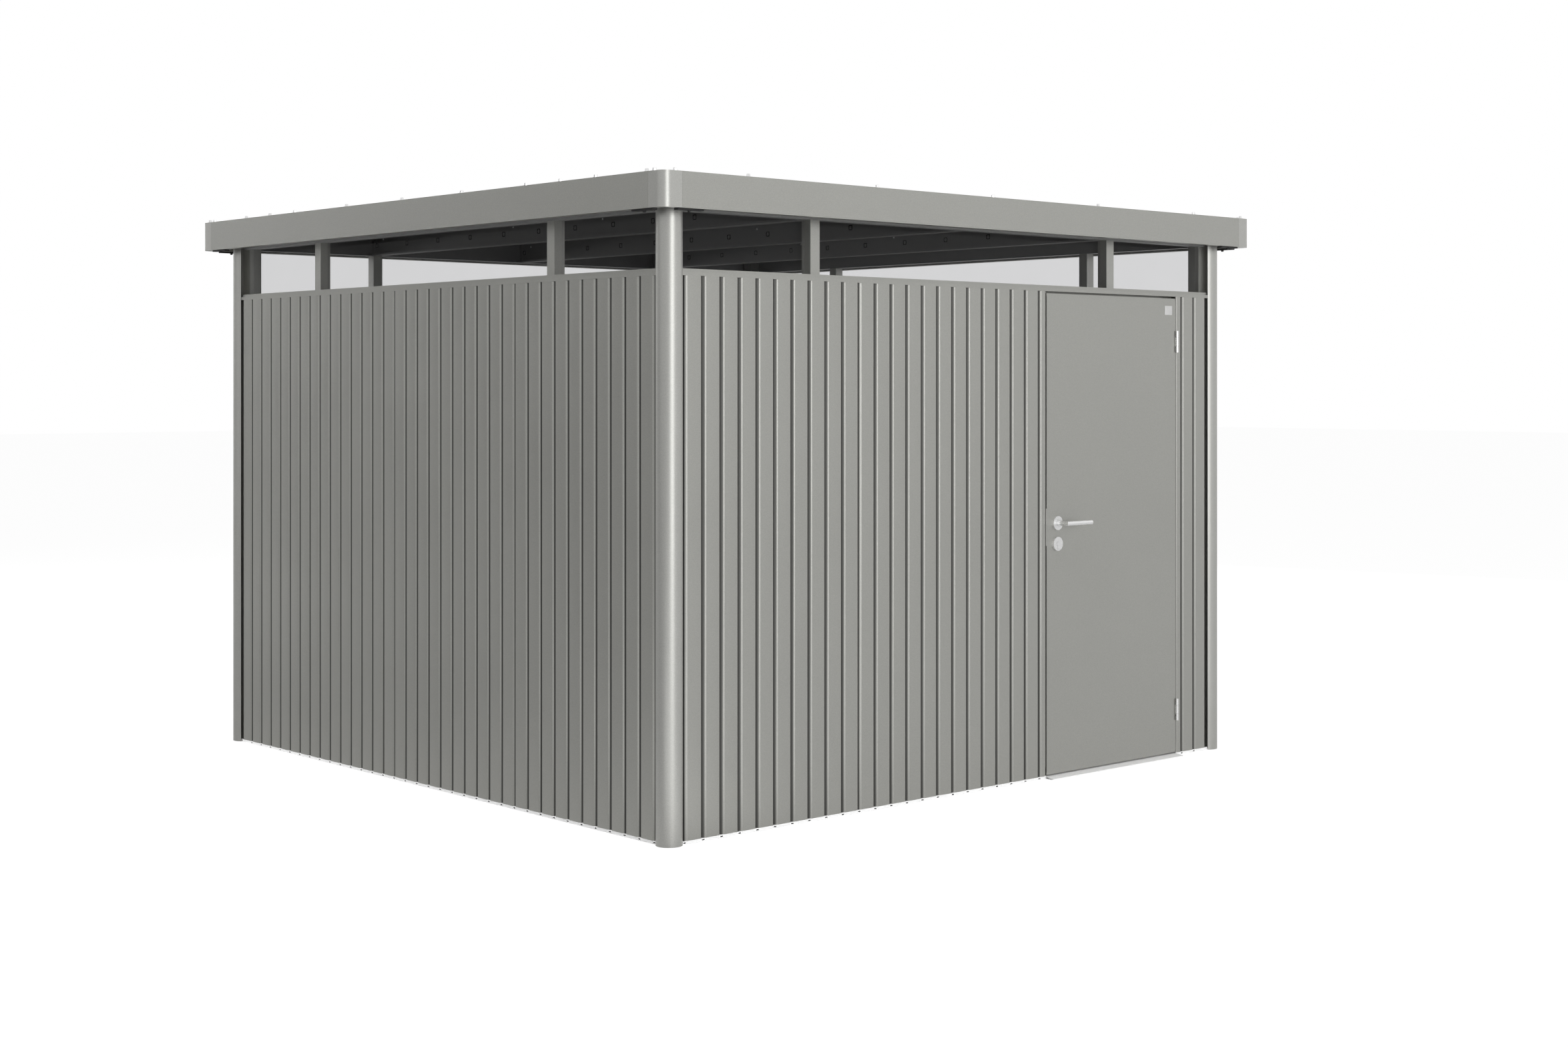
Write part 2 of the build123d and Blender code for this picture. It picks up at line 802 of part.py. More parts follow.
# Lever handle: a pair of mitred levers on a square spindle, through round roses

def rose(front, bore):
    """Round cover plate standing on an upright plane, outwards, with a bore."""
    with BuildPart() as cover:
        with BuildSketch(face_plane(0, front)):
            with Locations((handle_x, handle_z)):
                Circle(rose_radius)
                Circle(bore, mode=Mode.SUBTRACT)
        extrude(amount=rose_thickness)
    return cover.part


def key_rose(front):
    """Round cover plate with a slot for the key barrel."""
    with BuildPart() as cover:
        with BuildSketch(face_plane(0, front)):
            with Locations((handle_x, key_z)):
                Circle(rose_radius)
        extrude(amount=rose_thickness)
        add(lock_cuts(front - rose_thickness, rose_thickness), mode=Mode.SUBTRACT)
    return cover.part


inside_rose_front = door_depth + door_sheet + rose_thickness
neck_bore = lever_neck_radius + rose_bore_clearance
with BuildPart() as door_roses:
    for front in (0, inside_rose_front):
        add(rose(front, neck_bore))
        add(key_rose(front))
pieces["door_roses"] = door_roses.part

key_front = -rose_thickness - key_proud
key_length = inside_rose_front + key_proud - key_front
with BuildPart() as lock_cylinder:
    with BuildSketch(face_plane(0, key_front)):
        with Locations((handle_x, key_z)):
            Circle(key_barrel_radius)
            Rectangle(key_body_width, key_body_drop, align=(Align.CENTER, Align.MAX))
    extrude(amount=-key_length)
pieces["lock_cylinder"] = lock_cylinder.part


def lever(base_y, direction):
    """Round lever: a neck out of the rose, and a level bar mitred to it, towards the hinges."""
    bar_y = base_y + direction * lever_reach
    with BuildPart() as handle:
        with BuildLine() as lever_path:
            Polyline(
                (handle_x, base_y, handle_z),
                (handle_x, bar_y, handle_z),
                (handle_x + lever_length, bar_y, handle_z),
            )
        neck_plane = Plane(origin=(handle_x, base_y, handle_z), z_dir=(0, direction, 0))
        with BuildSketch(neck_plane):
            Circle(lever_bar_radius)
        sweep(path=lever_path.wires()[0], transition=Transition.RIGHT)
        with BuildSketch(neck_plane):
            Circle(lever_neck_radius)
        extrude(amount=rose_thickness + door_sheet)
    return handle.part


outside_base = door_front - door_sheet
inside_base = door_inside + door_sheet
with BuildPart() as lever_handles:
    add(lever(outside_base, -1))
    add(lever(inside_base, 1))
pieces["lever_handles"] = lever_handles.part

with BuildPart() as handle_spindle:
    with BuildSketch(Plane(origin=(handle_x, outside_base, handle_z), z_dir=(0, 1, 0))):
        Rectangle(spindle_size, spindle_size)
    extrude(amount=inside_base - outside_base)
pieces["handle_spindle"] = handle_spindle.part

# One file for each piece
os.makedirs("parts", exist_ok=True)
for name, piece in pieces.items():
    piece.label = name
    export_step(piece, f"parts/{name}.step")
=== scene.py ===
import json
import logging
import math
from dataclasses import dataclass
from enum import Enum

import bmesh
import bpy
from mathutils import Matrix, Vector


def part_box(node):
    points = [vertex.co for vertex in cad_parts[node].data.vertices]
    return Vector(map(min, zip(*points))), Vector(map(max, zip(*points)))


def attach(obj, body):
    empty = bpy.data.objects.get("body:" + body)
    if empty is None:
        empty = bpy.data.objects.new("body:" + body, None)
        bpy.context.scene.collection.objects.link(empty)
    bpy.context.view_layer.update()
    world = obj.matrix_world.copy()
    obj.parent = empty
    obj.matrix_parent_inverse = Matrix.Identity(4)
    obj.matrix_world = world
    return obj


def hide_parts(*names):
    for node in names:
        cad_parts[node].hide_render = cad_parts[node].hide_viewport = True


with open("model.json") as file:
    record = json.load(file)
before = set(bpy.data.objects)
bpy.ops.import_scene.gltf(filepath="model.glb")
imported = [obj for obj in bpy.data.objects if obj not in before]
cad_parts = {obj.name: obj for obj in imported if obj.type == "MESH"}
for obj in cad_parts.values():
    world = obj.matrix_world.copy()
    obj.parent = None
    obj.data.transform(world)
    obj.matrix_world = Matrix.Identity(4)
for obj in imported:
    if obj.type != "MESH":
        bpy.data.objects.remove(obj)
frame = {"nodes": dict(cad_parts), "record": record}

log = logging.getLogger("shed")

Colour = tuple[float, float, float]
Opaque = tuple[float, float, float, float]
Point = tuple[float, float, float]
Pair = tuple[float, float]
Socket = bpy.types.NodeSocket
Outputs = bpy.types.NodeOutputs

WALL_FACE = 1.471  # from the shed's middle to the outer face of a wall
ROOF_FACE = 1.571  # from the shed's middle to the outer face of the fascia
SAME_POINT = 1e-6  # points closer than this are one


class Board:
    """Puts nodes on one node tree and wires them."""

    def __init__(self, tree: bpy.types.NodeTree) -> None:
        """Keeps the tree, cleared of what it came with."""
        self.tree = tree
        tree.nodes.clear()

    def put(self, kind: str, wires: dict | None = None, **settings: object) -> bpy.types.Node:
        """Adds a node, sets it up and feeds its sockets.

        Args:
            kind: The node's type name.
            wires: For each input socket, by name or number, another node's output or a value.
            settings: The node's own properties.

        Returns:
            The new node.
        """
        node = self.tree.nodes.new(kind)
        for key, value in settings.items():
            setattr(node, key, value)
        for socket, value in (wires or {}).items():
            if isinstance(value, Socket):
                self.tree.links.new(value, node.inputs[socket])
            else:
                node.inputs[socket].default_value = value
        return node

    def calculate(self, operation: str, *values: object) -> Socket:
        """Returns the result of one operation on one or two values."""
        return self.put("ShaderNodeMath", dict(enumerate(values)), operation=operation).outputs[0]

    def blend(self, factor: object, first: object, second: object, way: str = "MIX") -> Socket:
        """Mixes two colours.

        Args:
            factor: How much of the second colour there is.
            first: The first colour.
            second: The second colour.
            way: Blender's name for how the second is laid on the first.

        Returns:
            The mixed colour.
        """
        wires = {"Factor": factor, 6: first, 7: second}
        return self.put("ShaderNodeMix", wires, data_type="RGBA", blend_type=way).outputs[2]

    def ramp(
        self, value: object, start: object, end: object, low: float = 0.0, high: float = 1.0,
        soft: bool = False,
    ) -> Socket:
        """Carries a value from one range to another, and stops at its ends.

        Args:
            value: The value.
            start: Where the ramp starts.
            end: Where it ends.
            low: The result at its start.
            high: The result at its end.
            soft: Whether it eases in and out.

        Returns:
            The result.
        """
        return self.put("ShaderNodeMapRange", {
            "Value": value, "From Min": start, "From Max": end, "To Min": low, "To Max": high,
        }, interpolation_type="SMOOTHSTEP" if soft else "LINEAR").outputs[0]

    def noise(self, place: object, scale: object, detail: float = 2.0) -> Socket:
        """Returns soft noise with so many spots to a metre, and so many finer layers on them."""
        wires = {"Vector": place, "Scale": scale, "Detail": detail}
        return self.put("ShaderNodeTexNoise", wires).outputs[0]

    def group(self, tree: bpy.types.NodeTree, place: Socket) -> Outputs:
        """Puts a shared group on the board, tells it the place and returns its outputs."""
        return self.put("ShaderNodeGroup", {"Place": place}, node_tree=tree).outputs

    def socket(self, name: str, kind: str, way: str, value: float | None = None) -> None:
        """Gives the tree an input or output of its own.

        Args:
            name: What the socket is called.
            kind: The socket's type name.
            way: INPUT or OUTPUT.
            value: The value it has when nothing is wired to it.
        """
        made = self.tree.interface.new_socket(name, in_out=way, socket_type=kind)
        if value is not None:
            made.default_value = value


def group_tree(name: str, inputs: dict[str, float | None], outputs: tuple[str, ...]) -> Board:
    """Starts a shader node group.

    Args:
        name: The group's name.
        inputs: The name and usual value of each input; None marks a vector.
        outputs: The names of its outputs, all plain values.

    Returns:
        The board to build it on, with no nodes yet.
    """
    board = Board(bpy.data.node_groups.new(name, "ShaderNodeTree"))
    for title, value in inputs.items():
        kind = "NodeSocketVector" if value is None else "NodeSocketFloat"
        board.socket(title, kind, "INPUT", value)
    for title in outputs:
        board.socket(title, "NodeSocketFloat", "OUTPUT")
    return board


class Effects:
    """The shader node groups that the finishes share."""

    def __init__(self) -> None:
        """Builds each group once."""
        self.grain = self.build_grain()
        self.brushing = self.build_brushing()
        self.dust = self.build_dust()
        self.grooves = self.build_groove_shade()

    def build_grain(self) -> bpy.types.NodeTree:
        """Returns a group that gives the flakes and the orange peel of sprayed metallic paint."""
        board = group_tree("paint_grain", {
            "Place": None, "Flakes per metre": 900.0, "Peel per metre": 140.0,
            "Clouds per metre": 3.1,
        }, ("Flake", "Cloud", "Height"))
        into = board.put("NodeGroupInput").outputs
        place = into["Place"]
        flake = board.put("ShaderNodeTexVoronoi", {
            "Vector": place, "Scale": into["Flakes per metre"],
        })
        tone = board.put("ShaderNodeSeparateColor", {"Color": flake.outputs["Color"]})
        board.put("NodeGroupOutput", {
            "Flake": tone.outputs[0],
            "Cloud": board.noise(place, into["Clouds per metre"], detail=4.0),
            "Height": board.noise(place, into["Peel per metre"]),
        })
        return board.tree

    def build_brushing(self) -> bpy.types.NodeTree:
        """Returns a group that gives the fine drawn lines of aluminium and steel."""
        board = group_tree("drawn_lines", {
            "Place": None, "Lines per metre": 700.0, "Clouds per metre": 9.0,
        }, ("Line", "Cloud"))
        into = board.put("NodeGroupInput").outputs
        board.put("NodeGroupOutput", {
            "Line": board.noise(into["Place"], into["Lines per metre"], detail=3.0),
            "Cloud": board.noise(into["Place"], into["Clouds per metre"], detail=3.0),
        })
        return board.tree

    def build_dust(self) -> bpy.types.NodeTree:
        """Returns a group that gives where splashes from the ground dull a surface."""
        board = group_tree("ground_dust", {
            "Place": None, "Reach": 0.25, "Speckles per metre": 34.0,
        }, ("Mask",))
        into = board.put("NodeGroupInput").outputs
        height = board.put("ShaderNodeSeparateXYZ", {0: into["Place"]}).outputs["Z"]
        low = board.ramp(height, into["Reach"], 0.0)
        speckle = board.noise(into["Place"], into["Speckles per metre"], detail=6.0)
        board.put("NodeGroupOutput", {"Mask": board.calculate("MULTIPLY", low, speckle)})
        return board.tree

    def build_groove_shade(self) -> bpy.types.NodeTree:
        """Returns a group that gives how deep a place lies behind the walls' outer faces, the mask
        for the shade painted into the grooves.
        """
        board = group_tree("groove_painted_shade", {
            "Place": None, "Wall face": WALL_FACE, "Start depth": 0.0015, "Full depth": 0.0062,
        }, ("Mask",))
        into = board.put("NodeGroupInput").outputs
        split = board.put("ShaderNodeSeparateXYZ", {0: into["Place"]}).outputs
        across = board.calculate("ABSOLUTE", split["X"])
        ahead = board.calculate("ABSOLUTE", split["Y"])
        outer = board.calculate("MAXIMUM", across, ahead)
        depth = board.calculate("SUBTRACT", into["Wall face"], outer)
        mask = board.ramp(depth, into["Start depth"], into["Full depth"], soft=True)
        board.put("NodeGroupOutput", {"Mask": mask})
        return board.tree


def new_material(name: str) -> tuple[bpy.types.Material, Board]:
    """Returns a named material and the board of its emptied node tree."""
    material = bpy.data.materials.new(name)
    material.use_nodes = True
    return material, Board(material.node_tree)


def tint(colour: Colour, factor: float) -> Opaque:
    """Returns a colour made lighter or darker, as a socket takes it."""
    return (*(min(1.0, part * factor) for part in colour), 1.0)


def grey(tone: float) -> Opaque:
    """Returns a grey, as a socket takes it; a tone above 1 glows brighter than white."""
    return (tone, tone, tone, 1.0)


def end_opaque(board: Board, look: dict[str, object], height: Socket, bump: Pair) -> None:
    """Ends a material with an opaque surface.

    Args:
        board: The material's board.
        look: The surface's colour, roughness and share of metal, by the shader's own names.
        height: Its fine relief.
        bump: How much of that relief shows, and how deep it is.
    """
    strength, depth = bump
    relief = board.put("ShaderNodeBump", {
        "Strength": strength, "Distance": depth, "Height": height,
    })
    shader = board.put("ShaderNodeBsdfPrincipled", {**look, "Normal": relief.outputs[0]})
    board.put("ShaderNodeOutputMaterial", {"Surface": shader.outputs[0]})


@dataclass(frozen=True)
class SatinPaint:
    """Satin metallic paint sprayed on steel sheet.

    Attributes:
        name: The material's name.
        colour: The paint's colour.
        roughness: How much it spreads a reflection.
        metallic: How much of it shines as metal flakes do.
        groove_shade: How dark the shade painted into the grooves' bottoms and deeper faces is; 0
            where the piece has none.
        groove_shade_tone: The tone of that painted shade, as a share of the paint's colour.
        sparkle: How far single flakes differ in tone.
        clouding: How far wide patches differ in tone.
        uneven: How much less and more than usual its roughness is.
        dust: How much of the dust near the ground shows.
        dust_colour: That dust's colour.
        peel: How much of the orange peel shows.
        peel_depth: How deep the orange peel is.
    """

    name: str
    colour: Colour
    roughness: float
    metallic: float
    groove_shade: float = 0.0
    groove_shade_tone: float = 0.12
    sparkle: float = 0.10
    clouding: float = 0.04
    uneven: Pair = (0.04, 0.05)
    dust: float = 0.12
    dust_colour: Colour = (0.42, 0.40, 0.36)
    peel: float = 0.08
    peel_depth: float = 0.0004

    def make(self, effects: Effects) -> bpy.types.Material:
        """Builds the material.

        Args:
            effects: The shared shader groups.

        Returns:
            The finished material.
        """
        material, board = new_material(self.name)
        place = board.put("ShaderNodeTexCoord").outputs["Object"]
        grain = board.group(effects.grain, place)
        dark, light = tint(self.colour, 1 - self.sparkle), tint(self.colour, 1 + self.sparkle)
        flaked = board.blend(grain["Flake"], dark, light)
        cloudy = board.blend(grain["Cloud"], grey(1 - self.clouding), grey(1.0))
        colour = board.blend(1.0, flaked, cloudy, way="MULTIPLY")
        low = board.group(effects.dust, place)["Mask"]
        dusty = board.calculate("MULTIPLY", low, self.dust)
        dulled = board.blend(dusty, colour, tint(self.dust_colour, 1.0))
        # Painted shade: places behind the walls' outer faces, groove bottoms first, are darkened
        # toward a dark tone of the paint.
        deep = board.group(effects.grooves, place)["Mask"]
        shade_share = board.calculate("MULTIPLY", deep, self.groove_shade)
        shaded = board.blend(shade_share, dulled, tint(self.colour, self.groove_shade_tone))
        less, more = self.uneven
        rough = board.ramp(
            grain["Cloud"], 0.0, 1.0, low=self.roughness - less, high=self.roughness + more,
        )
        look = {"Base Color": shaded, "Roughness": rough, "Metallic": self.metallic}
        end_opaque(board, look, grain["Height"], (self.peel, self.peel_depth))
        return material


@dataclass(frozen=True)
class DrawnMetal:
    """Bare metal with fine lines along one direction.

    Attributes:
        name: The material's name.
        colour: The metal's colour.
        roughness: How much it spreads a reflection.
        metallic: How bare the metal is; less under a matt anodised skin.
        stretch: How far a line runs along X, Y and Z; small numbers are long lines.
        tones: The tone of its darkest and lightest lines, as shares of its colour.
        uneven: How much less and more than usual its roughness is.
        relief: How much of the lines' relief shows.
        line_depth: How deep the lines are.
    """

    name: str
    colour: Colour
    roughness: float
    metallic: float = 1.0
    stretch: Point = (0.04, 0.04, 1.0)
    tones: Pair = (0.88, 1.06)
    uneven: Pair = (0.06, 0.08)
    relief: float = 0.10
    line_depth: float = 0.0003

    def make(self, effects: Effects) -> bpy.types.Material:
        """Builds the material.

        Args:
            effects: The shared shader groups.

        Returns:
            The finished material.
        """
        material, board = new_material(self.name)
        place = board.put("ShaderNodeTexCoord").outputs["Object"]
        drawn = board.put("ShaderNodeMapping", {"Vector": place, "Scale": self.stretch})
        line = board.group(effects.brushing, drawn.outputs[0])["Line"]
        dark, light = (tint(self.colour, tone) for tone in self.tones)
        less, more = self.uneven
        rough = board.ramp(
            line, 0.0, 1.0, low=self.roughness - less, high=self.roughness + more,
        )
        colour = board.blend(line, dark, light)
        look = {"Base Color": colour, "Roughness": rough, "Metallic": self.metallic}
        end_opaque(board, look, line, (self.relief, self.line_depth))
        return material


@dataclass(frozen=True)
class ClearSheet:
    """Clear acrylic window sheet.

    Attributes:
        name: The material's name.
        colour: What each face of the sheet lets through.
        roughness: How much a sheet's polish spreads light.
        haze: How much less its dullest patches let through.
        bending: How strongly it bends light.
    """

    name: str
    colour: Colour
    roughness: float = 0.015
    haze: float = 0.02
    bending: float = 1.12

    def make(self, effects: Effects) -> bpy.types.Material:
        """Builds the material.

        Args:
            effects: The shared shader groups.

        Returns:
            The finished material.
        """
        material, board = new_material(self.name)
        place = board.put("ShaderNodeTexCoord").outputs["Object"]
        cloud = board.group(effects.brushing, place)["Cloud"]
        clean = tint(self.colour, 1.0)
        sheet = board.put("ShaderNodeBsdfPrincipled", {
            "Base Color": board.blend(cloud, tint(self.colour, 1 - self.haze), clean),
            "Roughness": board.ramp(cloud, 0.0, 1.0, high=2 * self.roughness),
            "IOR": self.bending, "Transmission Weight": 1.0,
        })
        clear = board.put("ShaderNodeBsdfTransparent", {"Color": clean})
        path = board.put("ShaderNodeLightPath")
        mixed = board.put("ShaderNodeMixShader", {
            0: path.outputs["Is Shadow Ray"], 1: sheet.outputs[0], 2: clear.outputs[0],
        })
        board.put("ShaderNodeOutputMaterial", {"Surface": mixed.outputs[0]})
        return material


SHED_GREY: Colour = (0.40, 0.40, 0.376)
# The shed's grey, painted lighter on the posts and fascia corners: painted light for the brighter
# light they catch.
POST_LIT_GREY: Colour = (0.46, 0.46, 0.438)
# Painted shade: the roof frame's grey is darker than its own paint, to stand for the shade under
# the roof.
FRAME_SHADE_GREY: Colour = (0.19, 0.19, 0.186)
# Near-black: painted shade on the outlines of the beams' square marks, and the colour of the fascia
# clips and their screws.
SHADE_AND_CLIP_BLACK: Colour = (0.012, 0.012, 0.012)
BARE_METAL: Colour = (0.95, 0.95, 0.945)
DULL_METAL: Colour = (0.60, 0.60, 0.59)
PANE_TINT: Colour = (0.885, 0.885, 0.89)


class Finish(Enum):
    """The finishes of the shed."""

    WALL = SatinPaint("wall_paint", SHED_GREY, roughness=0.36, metallic=0.8)
    # The panel paint carries painted shade in its grooves.
    PANEL = SatinPaint("panel_paint", SHED_GREY, roughness=0.32, metallic=0.8, groove_shade=0.93)
    # Painted shade: the roof frame carries a grey darker than its own, for the shade under the
    # roof.
    FRAME = SatinPaint("roof_frame_shaded_paint", FRAME_SHADE_GREY, roughness=0.45, metallic=0.2)
    # Near-black paint: painted shade for the square marks' outlines, and the clips' own colour.
    SHADE_AND_CLIPS = SatinPaint("painted_shade_and_clip_black", SHADE_AND_CLIP_BLACK, roughness=0.6, metallic=0.0)
    # Painted light: the posts' copy of the shed's grey is lighter than the walls'.
    POST = SatinPaint("post_lit_paint", POST_LIT_GREY, roughness=0.34, metallic=0.8)
    ALUMINIUM = DrawnMetal("rail_aluminium", BARE_METAL, roughness=0.45, metallic=0.15)
    STEEL = DrawnMetal("satin_steel", BARE_METAL, roughness=0.26)
    PLATE = DrawnMetal("bare_plate", DULL_METAL, roughness=0.40, metallic=0.5)
    PANE = ClearSheet("clear_pane", PANE_TINT)


class Side(Enum):
    """The four walls, each with its quarter turns from the door wall."""

    FRONT = 0
    RIGHT = 1
    BACK = 2
    LEFT = 3

    def place(self, along: float, depth: float, height: float, half_wall: float) -> Vector:
        """Finds a place on this wall.

        Args:
            along: The distance right of the wall's middle, seen from outside.
            depth: The distance behind the wall's outer face.
            height: The height above the ground.
            half_wall: The distance of that face from the shed's middle.

        Returns:
            The place in the shed's frame.
        """
        return Matrix.Rotation(self.turn, 3, "Z") @ Vector((along, depth - half_wall, height))

    @property
    def turn(self) -> float:
        """Returns the wall's turn about the upright, in radians."""
        return self.value * math.pi / 2


class Palette:
    """Every finish as a material, made once."""

    def __init__(self) -> None:
        """Builds the materials from their finishes."""
        effects = Effects()
        self.materials = {finish: finish.value.make(effects) for finish in Finish}

    def paint(self, piece: bpy.types.Object, finish: Finish) -> None:
        """Puts one finish on a whole piece."""
        piece.data.materials.clear()
        piece.data.materials.append(self.materials[finish])


def link_mesh(name: str, mesh: bpy.types.Mesh) -> bpy.types.Object:
    """Returns a new object of the mesh, put in the scene."""
    piece = bpy.data.objects.new(name, mesh)
    bpy.context.scene.collection.objects.link(piece)
    return piece


def keep(work: bmesh.types.BMesh, mesh: bpy.types.Mesh) -> bpy.types.Mesh:
    """Writes finished work to a mesh, frees the work and returns the mesh."""
    work.to_mesh(mesh)
    work.free()
    return mesh


def report(piece: bpy.types.Object) -> None:
    """Logs a piece's name and how many faces it has."""
    log.info("%s: %d faces", piece.name, len(piece.data.polygons))


def geometry_tree(name: str, inputs: dict[str, tuple[str, object]]) -> Board:
    """Starts a Geometry Nodes tree.

    Args:
        name: The tree's name.
        inputs: For each named input, its socket's kind and its usual value.

    Returns:
        The board to build it on, with a geometry input and output.
    """
    board = Board(bpy.data.node_groups.new(name, "GeometryNodeTree"))
    board.socket("Geometry", "NodeSocketGeometry", "INPUT")
    board.socket("Geometry", "NodeSocketGeometry", "OUTPUT")
    for title, (kind, value) in inputs.items():
        board.socket(title, kind, "INPUT", value)
    return board


def finish_tree(board: Board, geometry: Socket, finish: Socket) -> None:
    """Ends a tree: makes its instances real and gives them their finish."""
    real = board.put("GeometryNodeRealizeInstances", {0: geometry})
    dressed = board.put("GeometryNodeSetMaterial", {
        "Geometry": real.outputs[0], "Material": finish,
    })
    board.put("NodeGroupOutput", {0: dressed.outputs[0]})


def bake(
    tree: bpy.types.NodeTree, base: bpy.types.Mesh, name: str, **inputs: object,
) -> bpy.types.Object:
    """Runs a Geometry Nodes tree on a base mesh and keeps the result as a plain mesh.

    Args:
        tree: The tree.
        base: The mesh that it starts from.
        name: The new piece's name.
        inputs: The tree's inputs by name, with _ for a space.

    Returns:
        The new piece, with its faces pointing outwards.
    """
    holder = link_mesh(f"{name}_base", base)
    modifier = holder.modifiers.new(tree.name, "NODES")
    modifier.node_group = tree
    sockets = {item.name: item.identifier for item in tree.interface.items_tree}
    for title, value in inputs.items():
        modifier[sockets[title.replace("_", " ").capitalize()]] = value
    bpy.context.view_layer.update()
    ready = holder.evaluated_get(bpy.context.evaluated_depsgraph_get())
    mesh = bpy.data.meshes.new_from_object(ready)
    holder.modifiers.remove(modifier)
    bpy.data.objects.remove(holder)
    work = bmesh.new()
    work.from_mesh(mesh)
    if work.calc_volume(signed=True) < 0:
        bmesh.ops.reverse_faces(work, faces=work.faces)
    return link_mesh(name, keep(work, mesh))


class Trees:
    """The Geometry Nodes trees of the shed."""

    def __init__(self) -> None:
        """Builds each tree once."""
        self.folded = self.build_folded()
        self.scattered = self.build_scattered()

    def build_folded(self) -> bpy.types.NodeTree:
        """Returns a tree that bends sheet along a line in plan and runs it upwards."""
        board = geometry_tree("folded_sheet", {
            "Bend radius": ("NodeSocketFloat", 0.003), "Bend steps": ("NodeSocketInt", 3),
            "Sheet": ("NodeSocketFloat", 0.001), "Height": ("NodeSocketFloat", 1.0),
            "Crease": ("NodeSocketFloat", 0.5), "Finish": ("NodeSocketMaterial", None),
        })
        into = board.put("NodeGroupInput").outputs
        line = board.put("GeometryNodeMeshToCurve", {"Mesh": into["Geometry"]})
        bent = board.put("GeometryNodeFilletCurve", {
            "Curve": line.outputs[0], "Count": into["Bend steps"], "Radius": into["Bend radius"],
            "Limit Radius": True,
        }, mode="POLY")
        edge = board.put("GeometryNodeCurveToMesh", {"Curve": bent.outputs[0]})
        rise = board.put("ShaderNodeCombineXYZ", {"Z": into["Height"]})
        skin = board.put("GeometryNodeExtrudeMesh", {
            "Mesh": edge.outputs[0], "Offset": rise.outputs[0],
        }, mode="EDGES")
        inward = board.calculate("MULTIPLY", into["Sheet"], -1.0)
        inner = board.put("GeometryNodeExtrudeMesh", {
            "Mesh": skin.outputs[0], "Offset Scale": inward, "Individual": False,
        }, mode="FACES")
        lining = board.put("GeometryNodeFlipFaces", {"Mesh": inner.outputs[0]})
        both = board.put("GeometryNodeJoinGeometry", {"Geometry": skin.outputs[0]})
        board.tree.links.new(lining.outputs[0], both.inputs[0])
        whole = board.put("GeometryNodeMergeByDistance", {
            "Geometry": both.outputs[0], "Distance": SAME_POINT,
        })
        round_off = board.put("GeometryNodeSetShadeSmooth", {
            "Geometry": whole.outputs[0],
        }, domain="FACE")
        angle = board.put("GeometryNodeInputMeshEdgeAngle")
        sharp = board.put("FunctionNodeCompare", {0: angle.outputs[0], 1: into["Crease"]})
        creased = board.put("GeometryNodeSetShadeSmooth", {
            "Geometry": round_off.outputs[0], "Selection": sharp.outputs[0], "Shade Smooth": False,
        }, domain="EDGE")
        finish_tree(board, creased.outputs[0], into["Finish"])
        return board.tree

    def build_scattered(self) -> bpy.types.NodeTree:
        """Returns a tree that sets a small part at each point, turned as the point says."""
        board = geometry_tree("set_parts", {
            "Part": ("NodeSocketObject", None), "Spin": ("NodeSocketFloat", 0.0),
            "Seed": ("NodeSocketInt", 4), "Finish": ("NodeSocketMaterial", None),
        })
        into = board.put("NodeGroupInput").outputs
        part = board.put("GeometryNodeObjectInfo", {"Object": into["Part"]})
        turn = board.put("GeometryNodeInputNamedAttribute", {
            "Name": "turn",
        }, data_type="FLOAT_VECTOR")
        upright = board.put("FunctionNodeEulerToRotation", {0: turn.outputs[0]})
        spin = board.put("FunctionNodeRandomValue", {
            "Min": board.calculate("MULTIPLY", into["Spin"], -1.0), "Max": into["Spin"],
            "Seed": into["Seed"],
        }, data_type="FLOAT")
        axis = board.put("ShaderNodeCombineXYZ", {"Z": spin.outputs["Value"]})
        own = board.put("FunctionNodeEulerToRotation", {0: axis.outputs[0]})
        turned = board.put("FunctionNodeRotateRotation", {
            0: upright.outputs[0], 1: own.outputs[0],
        }, rotation_space="LOCAL")
        placed = board.put("GeometryNodeInstanceOnPoints", {
            "Points": into["Geometry"], "Instance": part.outputs["Geometry"],
            "Rotation": turned.outputs[0],
        })
        finish_tree(board, placed.outputs[0], into["Finish"])
        return board.tree


def smooth_copy(node: str, body: str, crease: float) -> bpy.types.Object:
    """Stands a copy with smooth curves in for a CAD node.

    Args:
        node: The CAD node.
        body: The body that the node rides on.
        crease: The angle in degrees above which an edge stays sharp.

    Returns:
        The copy, riding on the body.
    """
    mesh = frame["nodes"][node].data.copy()
    work = bmesh.new()
    work.from_mesh(mesh)
    bmesh.ops.remove_doubles(work, verts=work.verts, dist=SAME_POINT)
    for face in work.faces:
        face.smooth = True
    for edge in work.edges:
        edge.smooth = edge.is_manifold and edge.calc_face_angle(0.0) < math.radians(crease)
    piece = link_mesh(f"{node}_smooth", keep(work, mesh))
    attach(piece, body)
    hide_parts(node)
    return piece


